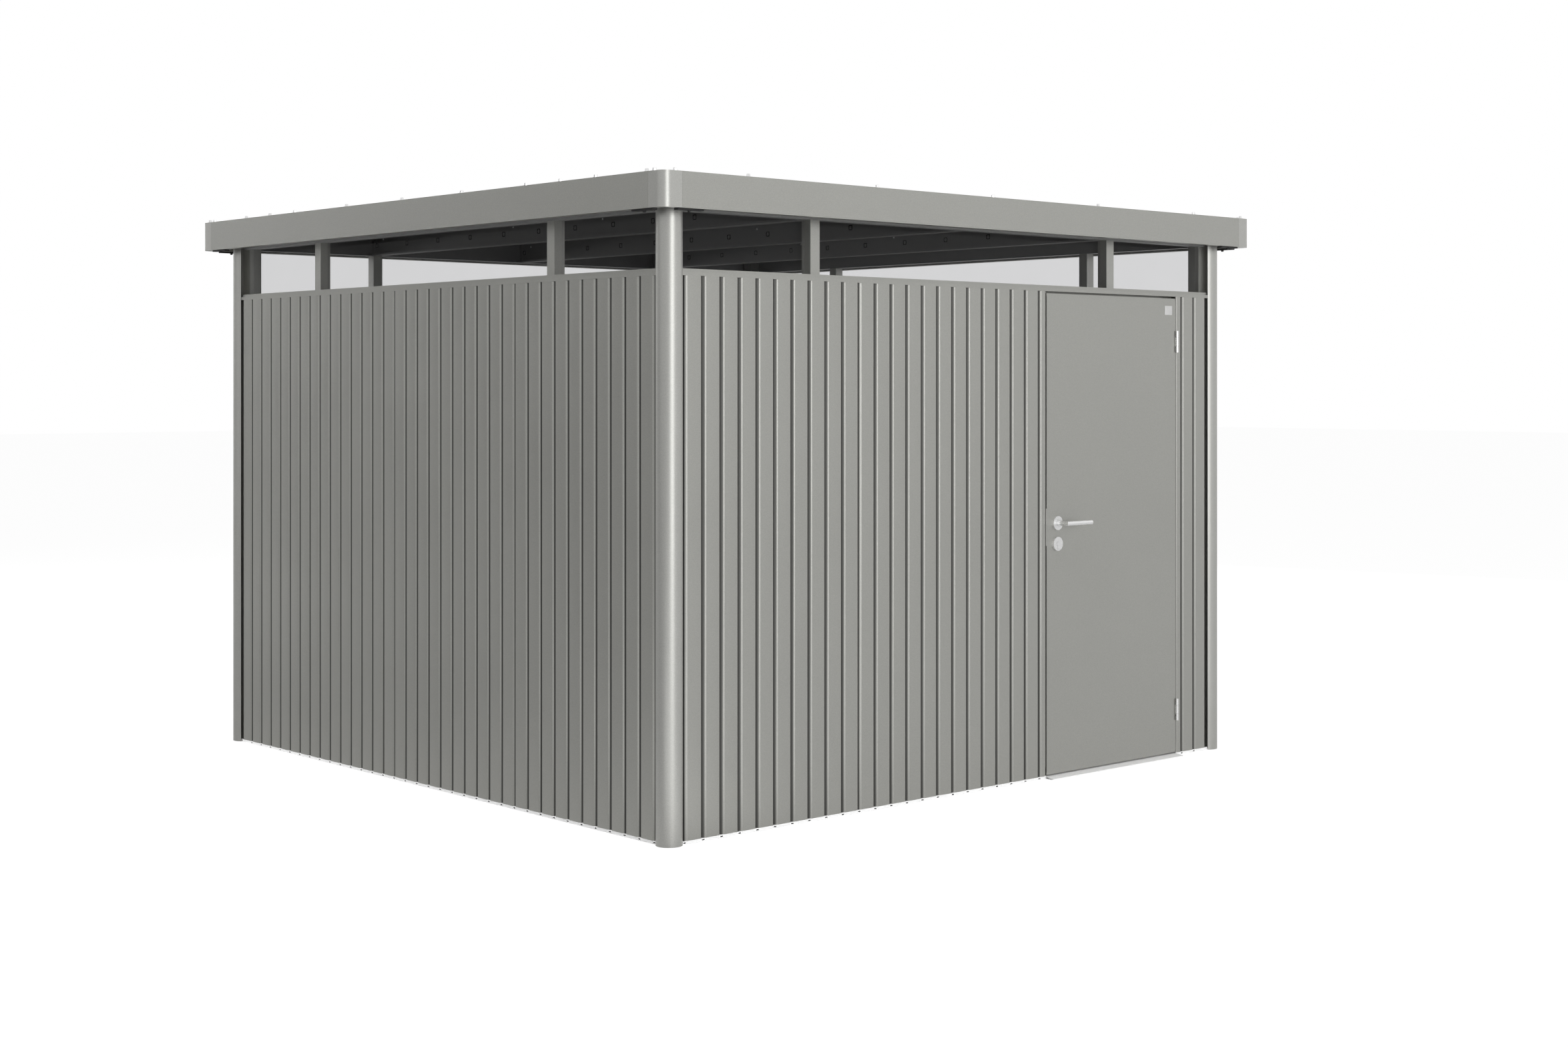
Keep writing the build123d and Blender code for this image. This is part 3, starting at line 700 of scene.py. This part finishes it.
@dataclass
class WallPanels:
    """Ribbed steel panels with soft bends, in the places of the CAD panels.

    Attributes:
        palette: The finishes.
        trees: The Geometry Nodes trees.
        pitch: The distance between grooves.
        pitches: How many pitches a wall has.
        front_pitches: How many of them the front wall's left panel has.
        door: Where the door opening starts and ends along the front wall.
        half_wall: The distance of a wall's outer face from the middle.
        lip_width: A groove's width at the face.
        floor_width: Its width at the bottom.
        groove_depth: Its depth.
        fold: How far a panel's edge folds in.
        joint_gap: The gap between two panels.
        bottom: The panels' lower edge.
        top: The panels' upper edge.
        bend_radius: The outer radius of each bend.
        bend_steps: How many steps make a bend round.
        sheet: The thickness of the sheet.
        crease: The angle in degrees above which an edge stays sharp.
    """

    palette: Palette
    trees: Trees
    pitch: float = 0.080
    pitches: int = 35
    front_pitches: int = 10
    door: Pair = (0.397, 1.203)
    half_wall: float = WALL_FACE
    lip_width: float = 0.020
    floor_width: float = 0.009
    groove_depth: float = 0.008
    fold: float = 0.024
    joint_gap: float = 0.0008
    bottom: float = 0.011
    top: float = 1.8881
    bend_radius: float = 0.0070
    bend_steps: int = 5
    sheet: float = 0.001
    crease: float = 50.0

    @property
    def half_run(self) -> float:
        """Returns half the length that a wall's pitches run."""
        return self.pitches * self.pitch / 2

    def bend_line(self, start: float, end: float, joints: tuple[bool, bool]) -> list[Pair]:
        """Finds where one panel bends.

        Args:
            start: Its left end along the wall, or the joint there.
            end: Its right end, or the joint there.
            joints: Whether another panel joins on at the left and at the right.

        Returns:
            The distance along and behind the wall's face of each bend, from left to right.
        """
        lip, floor, gap = self.lip_width / 2, self.floor_width / 2, self.joint_gap / 2
        deep = self.groove_depth
        line = [(start, self.fold), (start, 0.0)]
        if joints[0]:
            line = [(start + gap, self.fold), (start + gap, deep), (start + lip, 0.0)]
        for index in range(self.pitches + 1):
            groove = index * self.pitch - self.half_run
            if start + self.lip_width < groove < end - self.lip_width:
                line += [
                    (groove - lip, 0.0), (groove - floor, deep),
                    (groove + floor, deep), (groove + lip, 0.0),
                ]
        if joints[1]:
            return [*line, (end - lip, 0.0), (end - gap, deep), (end - gap, self.fold)]
        return [*line, (end, 0.0), (end, self.fold)]

    def build_panel(
        self, node: str, side: Side, start: float, end: float,
        joints: tuple[bool, bool] = (True, True),
    ) -> None:
        """Bends one panel and stands it in for its CAD node.

        Args:
            node: The CAD node.
            side: The wall.
            start: Its left end along the wall.
            end: Its right end.
            joints: Whether another panel joins on at the left and at the right.
        """
        line = self.bend_line(start, end, joints)
        spots = [side.place(along, depth, self.bottom, self.half_wall) for along, depth in line]
        base = bpy.data.meshes.new(node)
        base.from_pydata(spots, [(index, index + 1) for index in range(len(spots) - 1)], [])
        piece = bake(
            self.trees.folded, base, node.replace("_panel", "_sheet"),
            bend_radius=self.bend_radius, bend_steps=self.bend_steps, sheet=self.sheet,
            height=self.top - self.bottom, crease=math.radians(self.crease),
            finish=self.palette.materials[Finish.PANEL],
        )
        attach(piece, "root")
        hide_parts(node)
        report(piece)

    def build(self) -> None:
        """Builds every panel: three to a wall, with the front ones leaving out the door."""
        walls = {
            Side.LEFT: (("left_wall_back", "left_wall_middle", "left_wall_front"), (15, 25)),
            Side.RIGHT: (("right_wall_front", "right_wall_middle", "right_wall_back"), (10, 20)),
            Side.BACK: (("back_wall_right", "back_wall_middle", "back_wall_left"), (10, 25)),
        }
        half = self.half_run
        for side, (names, counts) in walls.items():
            ends = [-half, *(count * self.pitch - half for count in counts), half]
            for name, start, end in zip(names, ends, ends[1:]):
                self.build_panel(f"{name}_panel", side, start, end)
        joint = self.front_pitches * self.pitch - half
        opening, closing = self.door
        self.build_panel("front_wall_left_panel", Side.FRONT, -half, joint)
        self.build_panel("front_wall_middle_panel", Side.FRONT, joint, opening, (True, False))
        self.build_panel("front_wall_right_panel", Side.FRONT, closing, half, (False, True))


class Shape(Enum):
    """The small parts that repeat."""

    SQUARE_RING = "square_ring"
    HEX_HEAD = "hex_head"
    PAN_HEAD = "pan_head"
    CLIP = "clip"


@dataclass
class SmallParts:
    """Screws, clips and pressed marks, set in rows by Geometry Nodes, and the door's plate.

    A size of two numbers is a part's half width and its height. A profile gives the distance out
    and up of each point as shares of those, from the axis at the bottom to it at the top.

    Attributes:
        palette: The finishes.
        trees: The Geometry Nodes trees.
        hex_profile: A hexagon head's profile.
        pan_profile: A pan head's profile, with its hollow.
        ring_profile: The profile of a square mark's pressed frame.
        ring_cut: How much of its half width is cut from each corner.
        clip_depth: A clip's depth, as a share of its half width.
        clip_chamfer: The chamfer of its edges.
        beams: Where the roof beams stand, across the shed.
        web_face: The distance of a web's face from its beam's middle.
        marks: How many square marks a web has.
        mark_start: Where the first of them is, along the beam.
        mark_pitch: The distance between them.
        mark_height: Their height above the ground.
        mark_size: A square mark's size.
        web_screws: Where a web's small screws are, along the beam.
        web_screw_height: Their height above the ground.
        web_screw_size: A small screw's size.
        side_screws: Where the roof screws are along the left and right walls.
        end_screws: Where they are along the front and back walls.
        corner_screw: How far from the middle a wall's last roof screws are.
        roof_screw_inset: How far behind the fascia's face they are.
        roof_screw_width: Half the width of a roof screw's head.
        clip_place: How far from the middle of a wall its clips hang.
        clip_inset: How far behind the fascia's face they hang.
        clip_size: A clip's size.
        clip_screw_size: The size of the screw in it.
        slack: How far a screw may be turned from its usual place, in radians.
        plate_size: The plate's width, height and thickness.
        plate_chamfer: The chamfer of its edges.
        plate_place: Where the plate is on the door.
    """

    palette: Palette
    trees: Trees
    hex_profile: tuple[Pair, ...] = (
        (0, 0), (1, 0), (1, 0.22), (0.80, 0.26), (0.80, 0.86), (0.66, 1), (0, 1),
    )
    pan_profile: tuple[Pair, ...] = (
        (0, 0), (1, 0), (0.94, 0.40), (0.70, 0.80), (0.35, 1), (0.30, 0.45), (0, 0.45),
    )
    ring_profile: tuple[Pair, ...] = ((1, 0), (0.90, 1), (0.74, 1), (0.64, 0))
    ring_cut: float = 0.22
    clip_depth: float = 0.4
    clip_chamfer: float = 0.001
    beams: tuple[float, ...] = (-0.8, 0.0, 0.8)
    web_face: float = 0.0009
    marks: int = 12
    mark_start: float = 1.4177
    mark_pitch: float = 0.2464
    mark_height: float = 2.138
    mark_size: Pair = (0.0105, 0.0016)
    web_screws: tuple[float, ...] = (1.365, 0.364, -0.240, -0.844)
    web_screw_height: float = 2.1635
    web_screw_size: Pair = (0.0045, 0.0020)
    side_screws: tuple[float, ...] = (
        -1.474, -1.2, -1.0, -0.8, -0.4, 0.0, 0.4, 0.8, 1.0, 1.2, 1.474,
    )
    end_screws: tuple[float, ...] = (-1.2, -0.6, 0.0, 0.6, 1.2)
    corner_screw: float = 1.514
    roof_screw_inset: float = 0.010
    roof_screw_width: float = 0.0080
    clip_place: float = 1.445
    clip_inset: float = 0.022
    clip_size: Pair = (0.055, 0.006)
    clip_screw_size: Pair = (0.0065, 0.006)
    slack: float = 0.5
    plate_size: Point = (0.048, 0.037, 0.0008)
    plate_chamfer: float = 0.0003
    plate_place: Point = (1.151, -WALL_FACE, 1.820)

    def turned(
        self, profile: tuple[Pair, ...], size: float, height: float, steps: int,
    ) -> bmesh.types.BMesh:
        """Turns a profile round the upright.

        Args:
            profile: The profile.
            size: Half the width of what it makes.
            height: How far that stands up.
            steps: How many steps make the round.

        Returns:
            The closed shape.
        """
        work = bmesh.new()
        points = [work.verts.new((out * size, 0, up * height)) for out, up in profile]
        edges = [work.edges.new(pair) for pair in zip(points, points[1:])]
        bmesh.ops.spin(
            work, geom=[*points, *edges], cent=(0, 0, 0), axis=(0, 0, 1), angle=2 * math.pi,
            steps=steps,
        )
        bmesh.ops.remove_doubles(work, verts=work.verts, dist=SAME_POINT)
        bmesh.ops.recalc_face_normals(work, faces=work.faces)
        return work

    def shape(self, shape: Shape, size: float, height: float) -> bpy.types.Object:
        """Makes one small part, standing on its own ground.

        Args:
            shape: Which part.
            size: Half its width.
            height: How far it stands up.

        Returns:
            The part, not yet in the scene.
        """
        if shape is Shape.SQUARE_RING:
            work = self.square_ring(size, height)
        elif shape is Shape.CLIP:
            depth = self.clip_depth * size
            work = self.chamfered_plate((2 * size, depth, height), self.clip_chamfer)
        elif shape is Shape.HEX_HEAD:
            work = self.turned(self.hex_profile, size, height, steps=6)
        else:
            work = self.turned(self.pan_profile, size, height, steps=12)
        return bpy.data.objects.new(shape.value, keep(work, bpy.data.meshes.new(shape.value)))

    def chamfered_plate(self, size: Point, chamfer: float) -> bmesh.types.BMesh:
        """Returns a plate with broken edges, standing on its own ground."""
        work = bmesh.new()
        grow = Matrix.Translation((0, 0, size[2] / 2)) @ Matrix.Diagonal((*size, 1.0))
        bmesh.ops.create_cube(work, size=1.0, matrix=grow)
        bmesh.ops.bevel(work, geom=work.edges[:], offset=chamfer, segments=2, affect="EDGES")
        return work

    def square_ring(self, size: float, height: float) -> bmesh.types.BMesh:
        """Makes a pressed square frame with sloped sides and cut corners.

        Args:
            size: Half its width.
            height: How far it stands up.

        Returns:
            The closed shape.
        """
        work = bmesh.new()
        rings = []
        for out, up in self.ring_profile:
            reach, cut = out * size, self.ring_cut * size
            corners = [(reach, -reach + cut), (reach, reach - cut)]
            ring = []
            for quarter in range(4):
                turn = Matrix.Rotation(quarter * math.pi / 2, 3, "Z")
                ring += [work.verts.new(turn @ Vector((x, y, up * height))) for x, y in corners]
            rings.append(ring)
        for lower, upper in zip(rings, [*rings[1:], rings[0]]):
            for index in range(len(lower)):
                after = (index + 1) % len(lower)
                work.faces.new((lower[index], lower[after], upper[after], upper[index]))
        bmesh.ops.recalc_face_normals(work, faces=work.faces)
        return work

    def scatter(
        self, name: str, part: bpy.types.Object, spots: list[tuple[Vector, Point]], finish: Finish,
        body: str = "root", spin: float = 0.0, nodes: tuple[str, ...] = (),
    ) -> None:
        """Sets one small part at many places, as one piece.

        Args:
            name: The piece's name.
            part: The small part.
            spots: Each place, with the part's turn there as three angles.
            finish: Its finish.
            body: The body that it rides on.
            spin: How far each may be turned about its own axis, at random.
            nodes: The CAD nodes that it stands for.
        """
        base = bpy.data.meshes.new(name)
        base.from_pydata([place for place, _ in spots], [], [])
        turns = base.attributes.new("turn", "FLOAT_VECTOR", "POINT")
        turns.data.foreach_set("vector", [angle for _, turn in spots for angle in turn])
        piece = bake(
            self.trees.scattered, base, name, part=part, spin=spin, seed=4,
            finish=self.palette.materials[finish],
        )
        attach(piece, body)
        if nodes:
            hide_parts(*nodes)
        log.info("%s: %d places, %d faces", name, len(spots), len(piece.data.polygons))

    def build(self) -> None:
        """Sets every kind of small part."""
        self.mark_beams()
        self.set_roof_screws()
        self.hang_clips()
        self.fix_plate()

    def mark_beams(self) -> None:
        """Presses the square marks into the beam webs and sets the small screws above them."""
        ring = self.shape(Shape.SQUARE_RING, *self.mark_size)
        head = self.shape(Shape.PAN_HEAD, *self.web_screw_size)
        rings, heads = [], []
        for beam in self.beams:
            for way in (-1, 1):
                face = beam + way * self.web_face
                turn = (0.0, way * math.pi / 2, 0.0)
                for index in range(self.marks):
                    along = self.mark_start - self.mark_pitch * index
                    rings.append((Vector((face, along, self.mark_height)), turn))
                for along in self.web_screws:
                    heads.append((Vector((face, along, self.web_screw_height)), turn))
        # The square marks' rings are near-black: painted shade that outlines each mark.
        self.scatter("beam_square_marks", ring, rings, Finish.SHADE_AND_CLIPS)
        self.scatter("beam_web_screws", head, heads, Finish.STEEL, spin=math.pi)

    def set_roof_screws(self) -> None:
        """Sets hexagon screws along the top of the fascia, where the CAD has plain ones."""
        low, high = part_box("roof_edge_screws")
        head = self.shape(Shape.HEX_HEAD, self.roof_screw_width, high.z - low.z)
        spots = []
        for side in Side:
            row = self.end_screws if side in (Side.FRONT, Side.BACK) else self.side_screws
            for along in (*row, -self.corner_screw, self.corner_screw):
                place = side.place(along, self.roof_screw_inset, low.z, ROOF_FACE)
                spots.append((place, (0.0, 0.0, side.turn)))
        self.scatter(
            "roof_screw_heads", head, spots, Finish.STEEL, spin=self.slack,
            nodes=("roof_edge_screws",),
        )

    def hang_clips(self) -> None:
        """Hangs the dark clips under the fascia's ends, each with the screw that holds it."""
        low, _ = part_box("front_fascia")
        clip = self.shape(Shape.CLIP, *self.clip_size)
        head = self.shape(Shape.HEX_HEAD, *self.clip_screw_size)
        under = low.z - self.clip_size[1]
        clips, heads = [], []
        for side in Side:
            hung = (math.pi, 0.0, side.turn)
            for along in (-self.clip_place, self.clip_place):
                clips.append((side.place(along, self.clip_inset, low.z, ROOF_FACE), hung))
                heads.append((side.place(along, self.clip_inset, under, ROOF_FACE), hung))
        self.scatter("fascia_clips", clip, clips, Finish.SHADE_AND_CLIPS)
        self.scatter("fascia_clip_screws", head, heads, Finish.SHADE_AND_CLIPS, spin=self.slack)

    def fix_plate(self) -> None:
        """Fixes the bare plate to the door's upper corner."""
        work = self.chamfered_plate(self.plate_size, self.plate_chamfer)
        upright = Matrix.Rotation(math.pi / 2, 4, "X")
        work.transform(Matrix.Translation(self.plate_place) @ upright)
        piece = link_mesh("door_plate", keep(work, bpy.data.meshes.new("door_plate")))
        self.palette.paint(piece, Finish.PLATE)
        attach(piece, "door")
        report(piece)


@dataclass
class SmoothPieces:
    """CAD pieces whose round faces need smooth shading.

    Attributes:
        palette: The finishes.
        crease: The angle in degrees above which an edge stays sharp.
    """

    palette: Palette
    crease: float = 30.0

    def build(self) -> None:
        """Copies each round CAD node and dresses it."""
        corners = ("front_left", "front_right", "back_left", "back_right")
        posts = [f"{corner}_corner_post" for corner in corners]
        turned = ["door_hinge_knuckles", "door_roses", "lock_cylinder"]
        groups = (
            ([*posts, "fascia_corners"], "root", Finish.POST, "grey_paint"),
            (["door_hinge_pins"], "root", Finish.STEEL, "steel"),
            (turned, "door", Finish.STEEL, "steel"),
            (["lever_handles", "handle_spindle"], "lever", Finish.STEEL, "steel"),
        )
        for nodes, body, finish, slot in groups:
            for node in nodes:
                piece = smooth_copy(node, body, self.crease)
                self.palette.paint(piece, finish)
                report(piece)


@dataclass
class PlainPieces:
    """CAD pieces that keep their own mesh.

    Attributes:
        palette: The finishes.
        upward: The upward part of a face's direction above which it counts as the upper side.
    """

    palette: Palette
    upward: float = 0.05

    def dress(self) -> None:
        """Gives every CAD node its finish by its material slot."""
        by_slot = {
            "grey_paint": Finish.WALL, "frame_paint": Finish.FRAME, "steel": Finish.STEEL,
            "aluminium": Finish.ALUMINIUM, "pane": Finish.PANE,
        }
        for row in frame["record"]["subparts"]:
            piece = frame["nodes"][row["node"]]
            self.palette.paint(piece, by_slot[row["material_slot"]])
            log.info("%s: %s", row["node"], row["material_slot"])
        # The roof sheets' underside stays dark with painted shade; their upper side gets the
        # lighter wall paint.
        self.paint_upper_side(frame["nodes"]["roof_sheets"])

    def paint_upper_side(self, piece: bpy.types.Object) -> None:
        """Gives a piece's upper side the paint of the walls, while its underside keeps the frame
        paint with its painted shade; only the faces' material changes.
        """
        piece.data.materials.append(self.palette.materials[Finish.WALL])
        for face in piece.data.polygons:
            face.material_index = int(face.normal.z > self.upward)


@dataclass(frozen=True)
class SoftBox:
    """One lamp of the studio.

    Attributes:
        name: Its name.
        place: Where it hangs.
        aim: Where it points.
        size: Its width and height.
        watts: Its power.
        mirrored: Whether it shows in shiny faces.
    """

    name: str
    place: Point
    aim: Point
    size: Pair
    watts: float
    mirrored: bool = False

    def hang(self) -> None:
        """Hangs the lamp, where no pane shows it."""
        lamp = bpy.data.lights.new(self.name, "AREA")
        lamp.shape = "RECTANGLE"
        lamp.size, lamp.size_y = self.size
        lamp.energy = self.watts
        holder = bpy.data.objects.new(self.name, lamp)
        holder.location = self.place
        way = Vector(self.aim) - Vector(self.place)
        holder.rotation_euler = way.to_track_quat("-Z", "Y").to_euler()
        holder.visible_glossy = self.mirrored
        holder.visible_transmission = False
        bpy.context.scene.collection.objects.link(holder)


@dataclass
class Studio:
    """The floor, the background, the lights and the camera.

    A tone is a grey's brightness, where 1 is white.

    Attributes:
        eye: Where the camera stands.
        heading: Which way it looks, in degrees to the right of +Y.
        lens: Its focal length in millimetres.
        lift: How far the frame is shifted up, in frame widths; less than 0 is down.
        screen_way: The direction of a grey screen that only shiny faces show.
        screen_edge: How near to that direction the screen starts and is full, as cosines.
        screen_tone: The screen's tone.
        wall_tone: The tone of the studio's walls in shiny faces.
        wall_light: How much light the walls give to matt faces.
        floor_reach: How far the floor runs from the middle.
        floor_drop: How far it lies under the shed.
        floor_tones: The darkest and the lightest tone of its paint.
        floor_specks: How many specks it has to a metre.
        floor_glow: How much of it is glow and not paint, where it shows.
        floor_tone: The tone of that glow as the camera sees it.
        mirror_tones: Its painted reflection, the tones that shiny faces show of it, away from the
            screen and toward it.
        mirror_reach: Where it goes from the one to the other, along screen_way.
        streak_tone: The tone of the glowing streak, a painted highlight that the near post shows.
        streak_middle: Where the middle of the streak runs, across the floor.
        streak_sides: How far from that it starts and is full.
        streak_ends: Where it starts and is full, in front of the shed.
        lamps: The soft boxes; only one of them shows in shiny faces, as a light on round posts.
    """

    eye: Point = (-5.967, -7.029, 1.512)
    heading: float = 42.02
    lens: float = 50.05
    lift: float = -0.0877
    screen_way: Point = (-0.58, 0.735, -0.35)
    screen_edge: Pair = (0.78, 0.97)
    screen_tone: float = 0.14
    wall_tone: float = 0.86
    wall_light: float = 0.02
    floor_reach: float = 60.0
    floor_drop: float = 0.001
    floor_tones: Pair = (0.90, 0.92)
    floor_specks: float = 40.0
    floor_glow: float = 0.93
    floor_tone: float = 1.05
    mirror_tones: Pair = (0.64, 0.32)
    mirror_reach: Pair = (-1.0, 3.0)
    streak_tone: float = 1.3
    streak_middle: float = -2.6
    streak_sides: Pair = (2.4, 0.9)
    streak_ends: Pair = (-1.5, -2.2)
    lamps: tuple[SoftBox, ...] = (
        SoftBox("front_box", (1.5, -11.0, 2.4), (0.2, -1.5, 1.0), (7.0, 5.0), 700.0),
        SoftBox("strip_box", (-3.6, -11.0, 2.2), (-0.8, -1.5, 1.0), (5.0, 5.0), 180.0, True),
        SoftBox("back_left_box", (-5.0, 9.0, 3.0), (-1.5, 1.5, 1.1), (4.0, 4.0), 1250.0),
        SoftBox("right_box", (9.0, 2.0, 3.0), (1.5, 0.0, 1.1), (4.0, 4.0), 450.0),
        SoftBox("top_box", (-1.5, -1.5, 8.0), (0.0, 0.0, 1.0), (6.0, 6.0), 480.0),
    )

    def build(self) -> None:
        """Sets up everything round the shed."""
        self.set_camera()
        self.set_world()
        self.set_floor()
        for lamp in self.lamps:
            lamp.hang()
        bpy.context.scene.view_settings.view_transform = "Standard"

    def set_camera(self) -> None:
        """Puts the camera where the photograph was taken from."""
        camera = bpy.data.cameras.new("camera")
        camera.lens = self.lens
        camera.shift_y = self.lift
        holder = bpy.data.objects.new("camera", camera)
        holder.location = self.eye
        holder.rotation_euler = (math.radians(90), 0, -math.radians(self.heading))
        bpy.context.scene.collection.objects.link(holder)
        bpy.context.scene.camera = holder

    def shown(self, board: Board, path: Outputs) -> Socket:
        """Returns 1 for rays of the camera, through panes and off shiny faces, and 0 for others."""
        seen = board.calculate("MAXIMUM", path["Is Camera Ray"], path["Is Transmission Ray"])
        return board.calculate("MAXIMUM", seen, path["Is Glossy Ray"])

    def toward_screen(self, board: Board, way: Socket) -> Socket:
        """Returns how far a place or a direction goes the screen's way."""
        wires = {0: way, 1: self.screen_way}
        return board.put("ShaderNodeVectorMath", wires, operation="DOT_PRODUCT").outputs["Value"]

    def set_world(self) -> None:
        """Makes the studio walls: white where they show, a weak light elsewhere."""
        world = bpy.data.worlds.new("studio")
        world.use_nodes = True
        bpy.context.scene.world = world
        board = Board(world.node_tree)
        path = board.put("ShaderNodeLightPath").outputs
        way = board.put("ShaderNodeTexCoord").outputs["Generated"]
        screen = board.ramp(self.toward_screen(board, way), *self.screen_edge, soft=True)
        hidden = board.calculate("MULTIPLY", screen, path["Is Glossy Ray"])
        mirrored = board.blend(path["Is Glossy Ray"], grey(1.0), grey(self.wall_tone))
        white = board.blend(hidden, mirrored, grey(self.screen_tone))
        colour = board.blend(self.shown(board, path), grey(self.wall_light), white)
        light = board.put("ShaderNodeBackground", {"Color": colour, "Strength": 1.0})
        board.put("ShaderNodeOutputWorld", {"Surface": light.outputs[0]})

    def mirrored_floor(self, board: Board, place: Socket) -> Socket:
        """Returns the floor's painted reflection: the colour that shiny faces show of it.

        Args:
            board: The floor material's board.
            place: Where on the floor it is.

        Returns:
            A grey, darker toward the screen, with one glowing streak in front that paints the near
            post's highlight.
        """
        away, toward = self.mirror_tones
        share = board.ramp(self.toward_screen(board, place), *self.mirror_reach)
        plain = board.blend(share, grey(away), grey(toward))
        split = board.put("ShaderNodeSeparateXYZ", {0: place}).outputs
        aside = board.calculate("SUBTRACT", split["X"], self.streak_middle)
        narrow = board.ramp(board.calculate("ABSOLUTE", aside), *self.streak_sides, soft=True)
        ahead = board.ramp(split["Y"], *self.streak_ends)
        streak = board.calculate("MULTIPLY", narrow, ahead)
        return board.blend(streak, plain, grey(self.streak_tone))

    def floor_paint(self) -> bpy.types.Material:
        """Returns a pale material that glows where it shows and keeps a soft shadow."""
        material, board = new_material("pale_floor")
        place = board.put("ShaderNodeTexCoord").outputs["Object"]
        path = board.put("ShaderNodeLightPath").outputs
        dark, light = self.floor_tones
        colour = board.blend(board.noise(place, self.floor_specks), grey(dark), grey(light))
        matt = board.put("ShaderNodeBsdfDiffuse", {"Color": colour})
        # Painted reflection: shiny faces see the floor glow in its own tones, with a painted
        # highlight streak.
        mirrored = self.mirrored_floor(board, place)
        glow = board.blend(path["Is Glossy Ray"], grey(self.floor_tone), mirrored)
        bright = board.put("ShaderNodeEmission", {"Color": glow, "Strength": 1.0})
        part = board.calculate("MULTIPLY", self.shown(board, path), self.floor_glow)
        mixed = board.put("ShaderNodeMixShader", {
            0: part, 1: matt.outputs[0], 2: bright.outputs[0],
        })
        board.put("ShaderNodeOutputMaterial", {"Surface": mixed.outputs[0]})
        return material

    def set_floor(self) -> None:
        """Lays a pale floor that fades into the background."""
        work = bmesh.new()
        bmesh.ops.create_grid(work, x_segments=1, y_segments=1, size=self.floor_reach)
        bmesh.ops.translate(work, verts=work.verts, vec=Vector((0, 0, -self.floor_drop)))
        floor = link_mesh("floor", keep(work, bpy.data.meshes.new("floor")))
        floor.data.materials.append(self.floor_paint())


def main() -> None:
    """Builds and dresses the shed, then its studio."""
    logging.basicConfig(level=logging.INFO, format="%(message)s")
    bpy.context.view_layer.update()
    palette = Palette()
    PlainPieces(palette).dress()
    SmoothPieces(palette).build()
    trees = Trees()
    WallPanels(palette, trees).build()
    SmallParts(palette, trees).build()
    Studio().build()


if __name__ == "__main__":
    main()
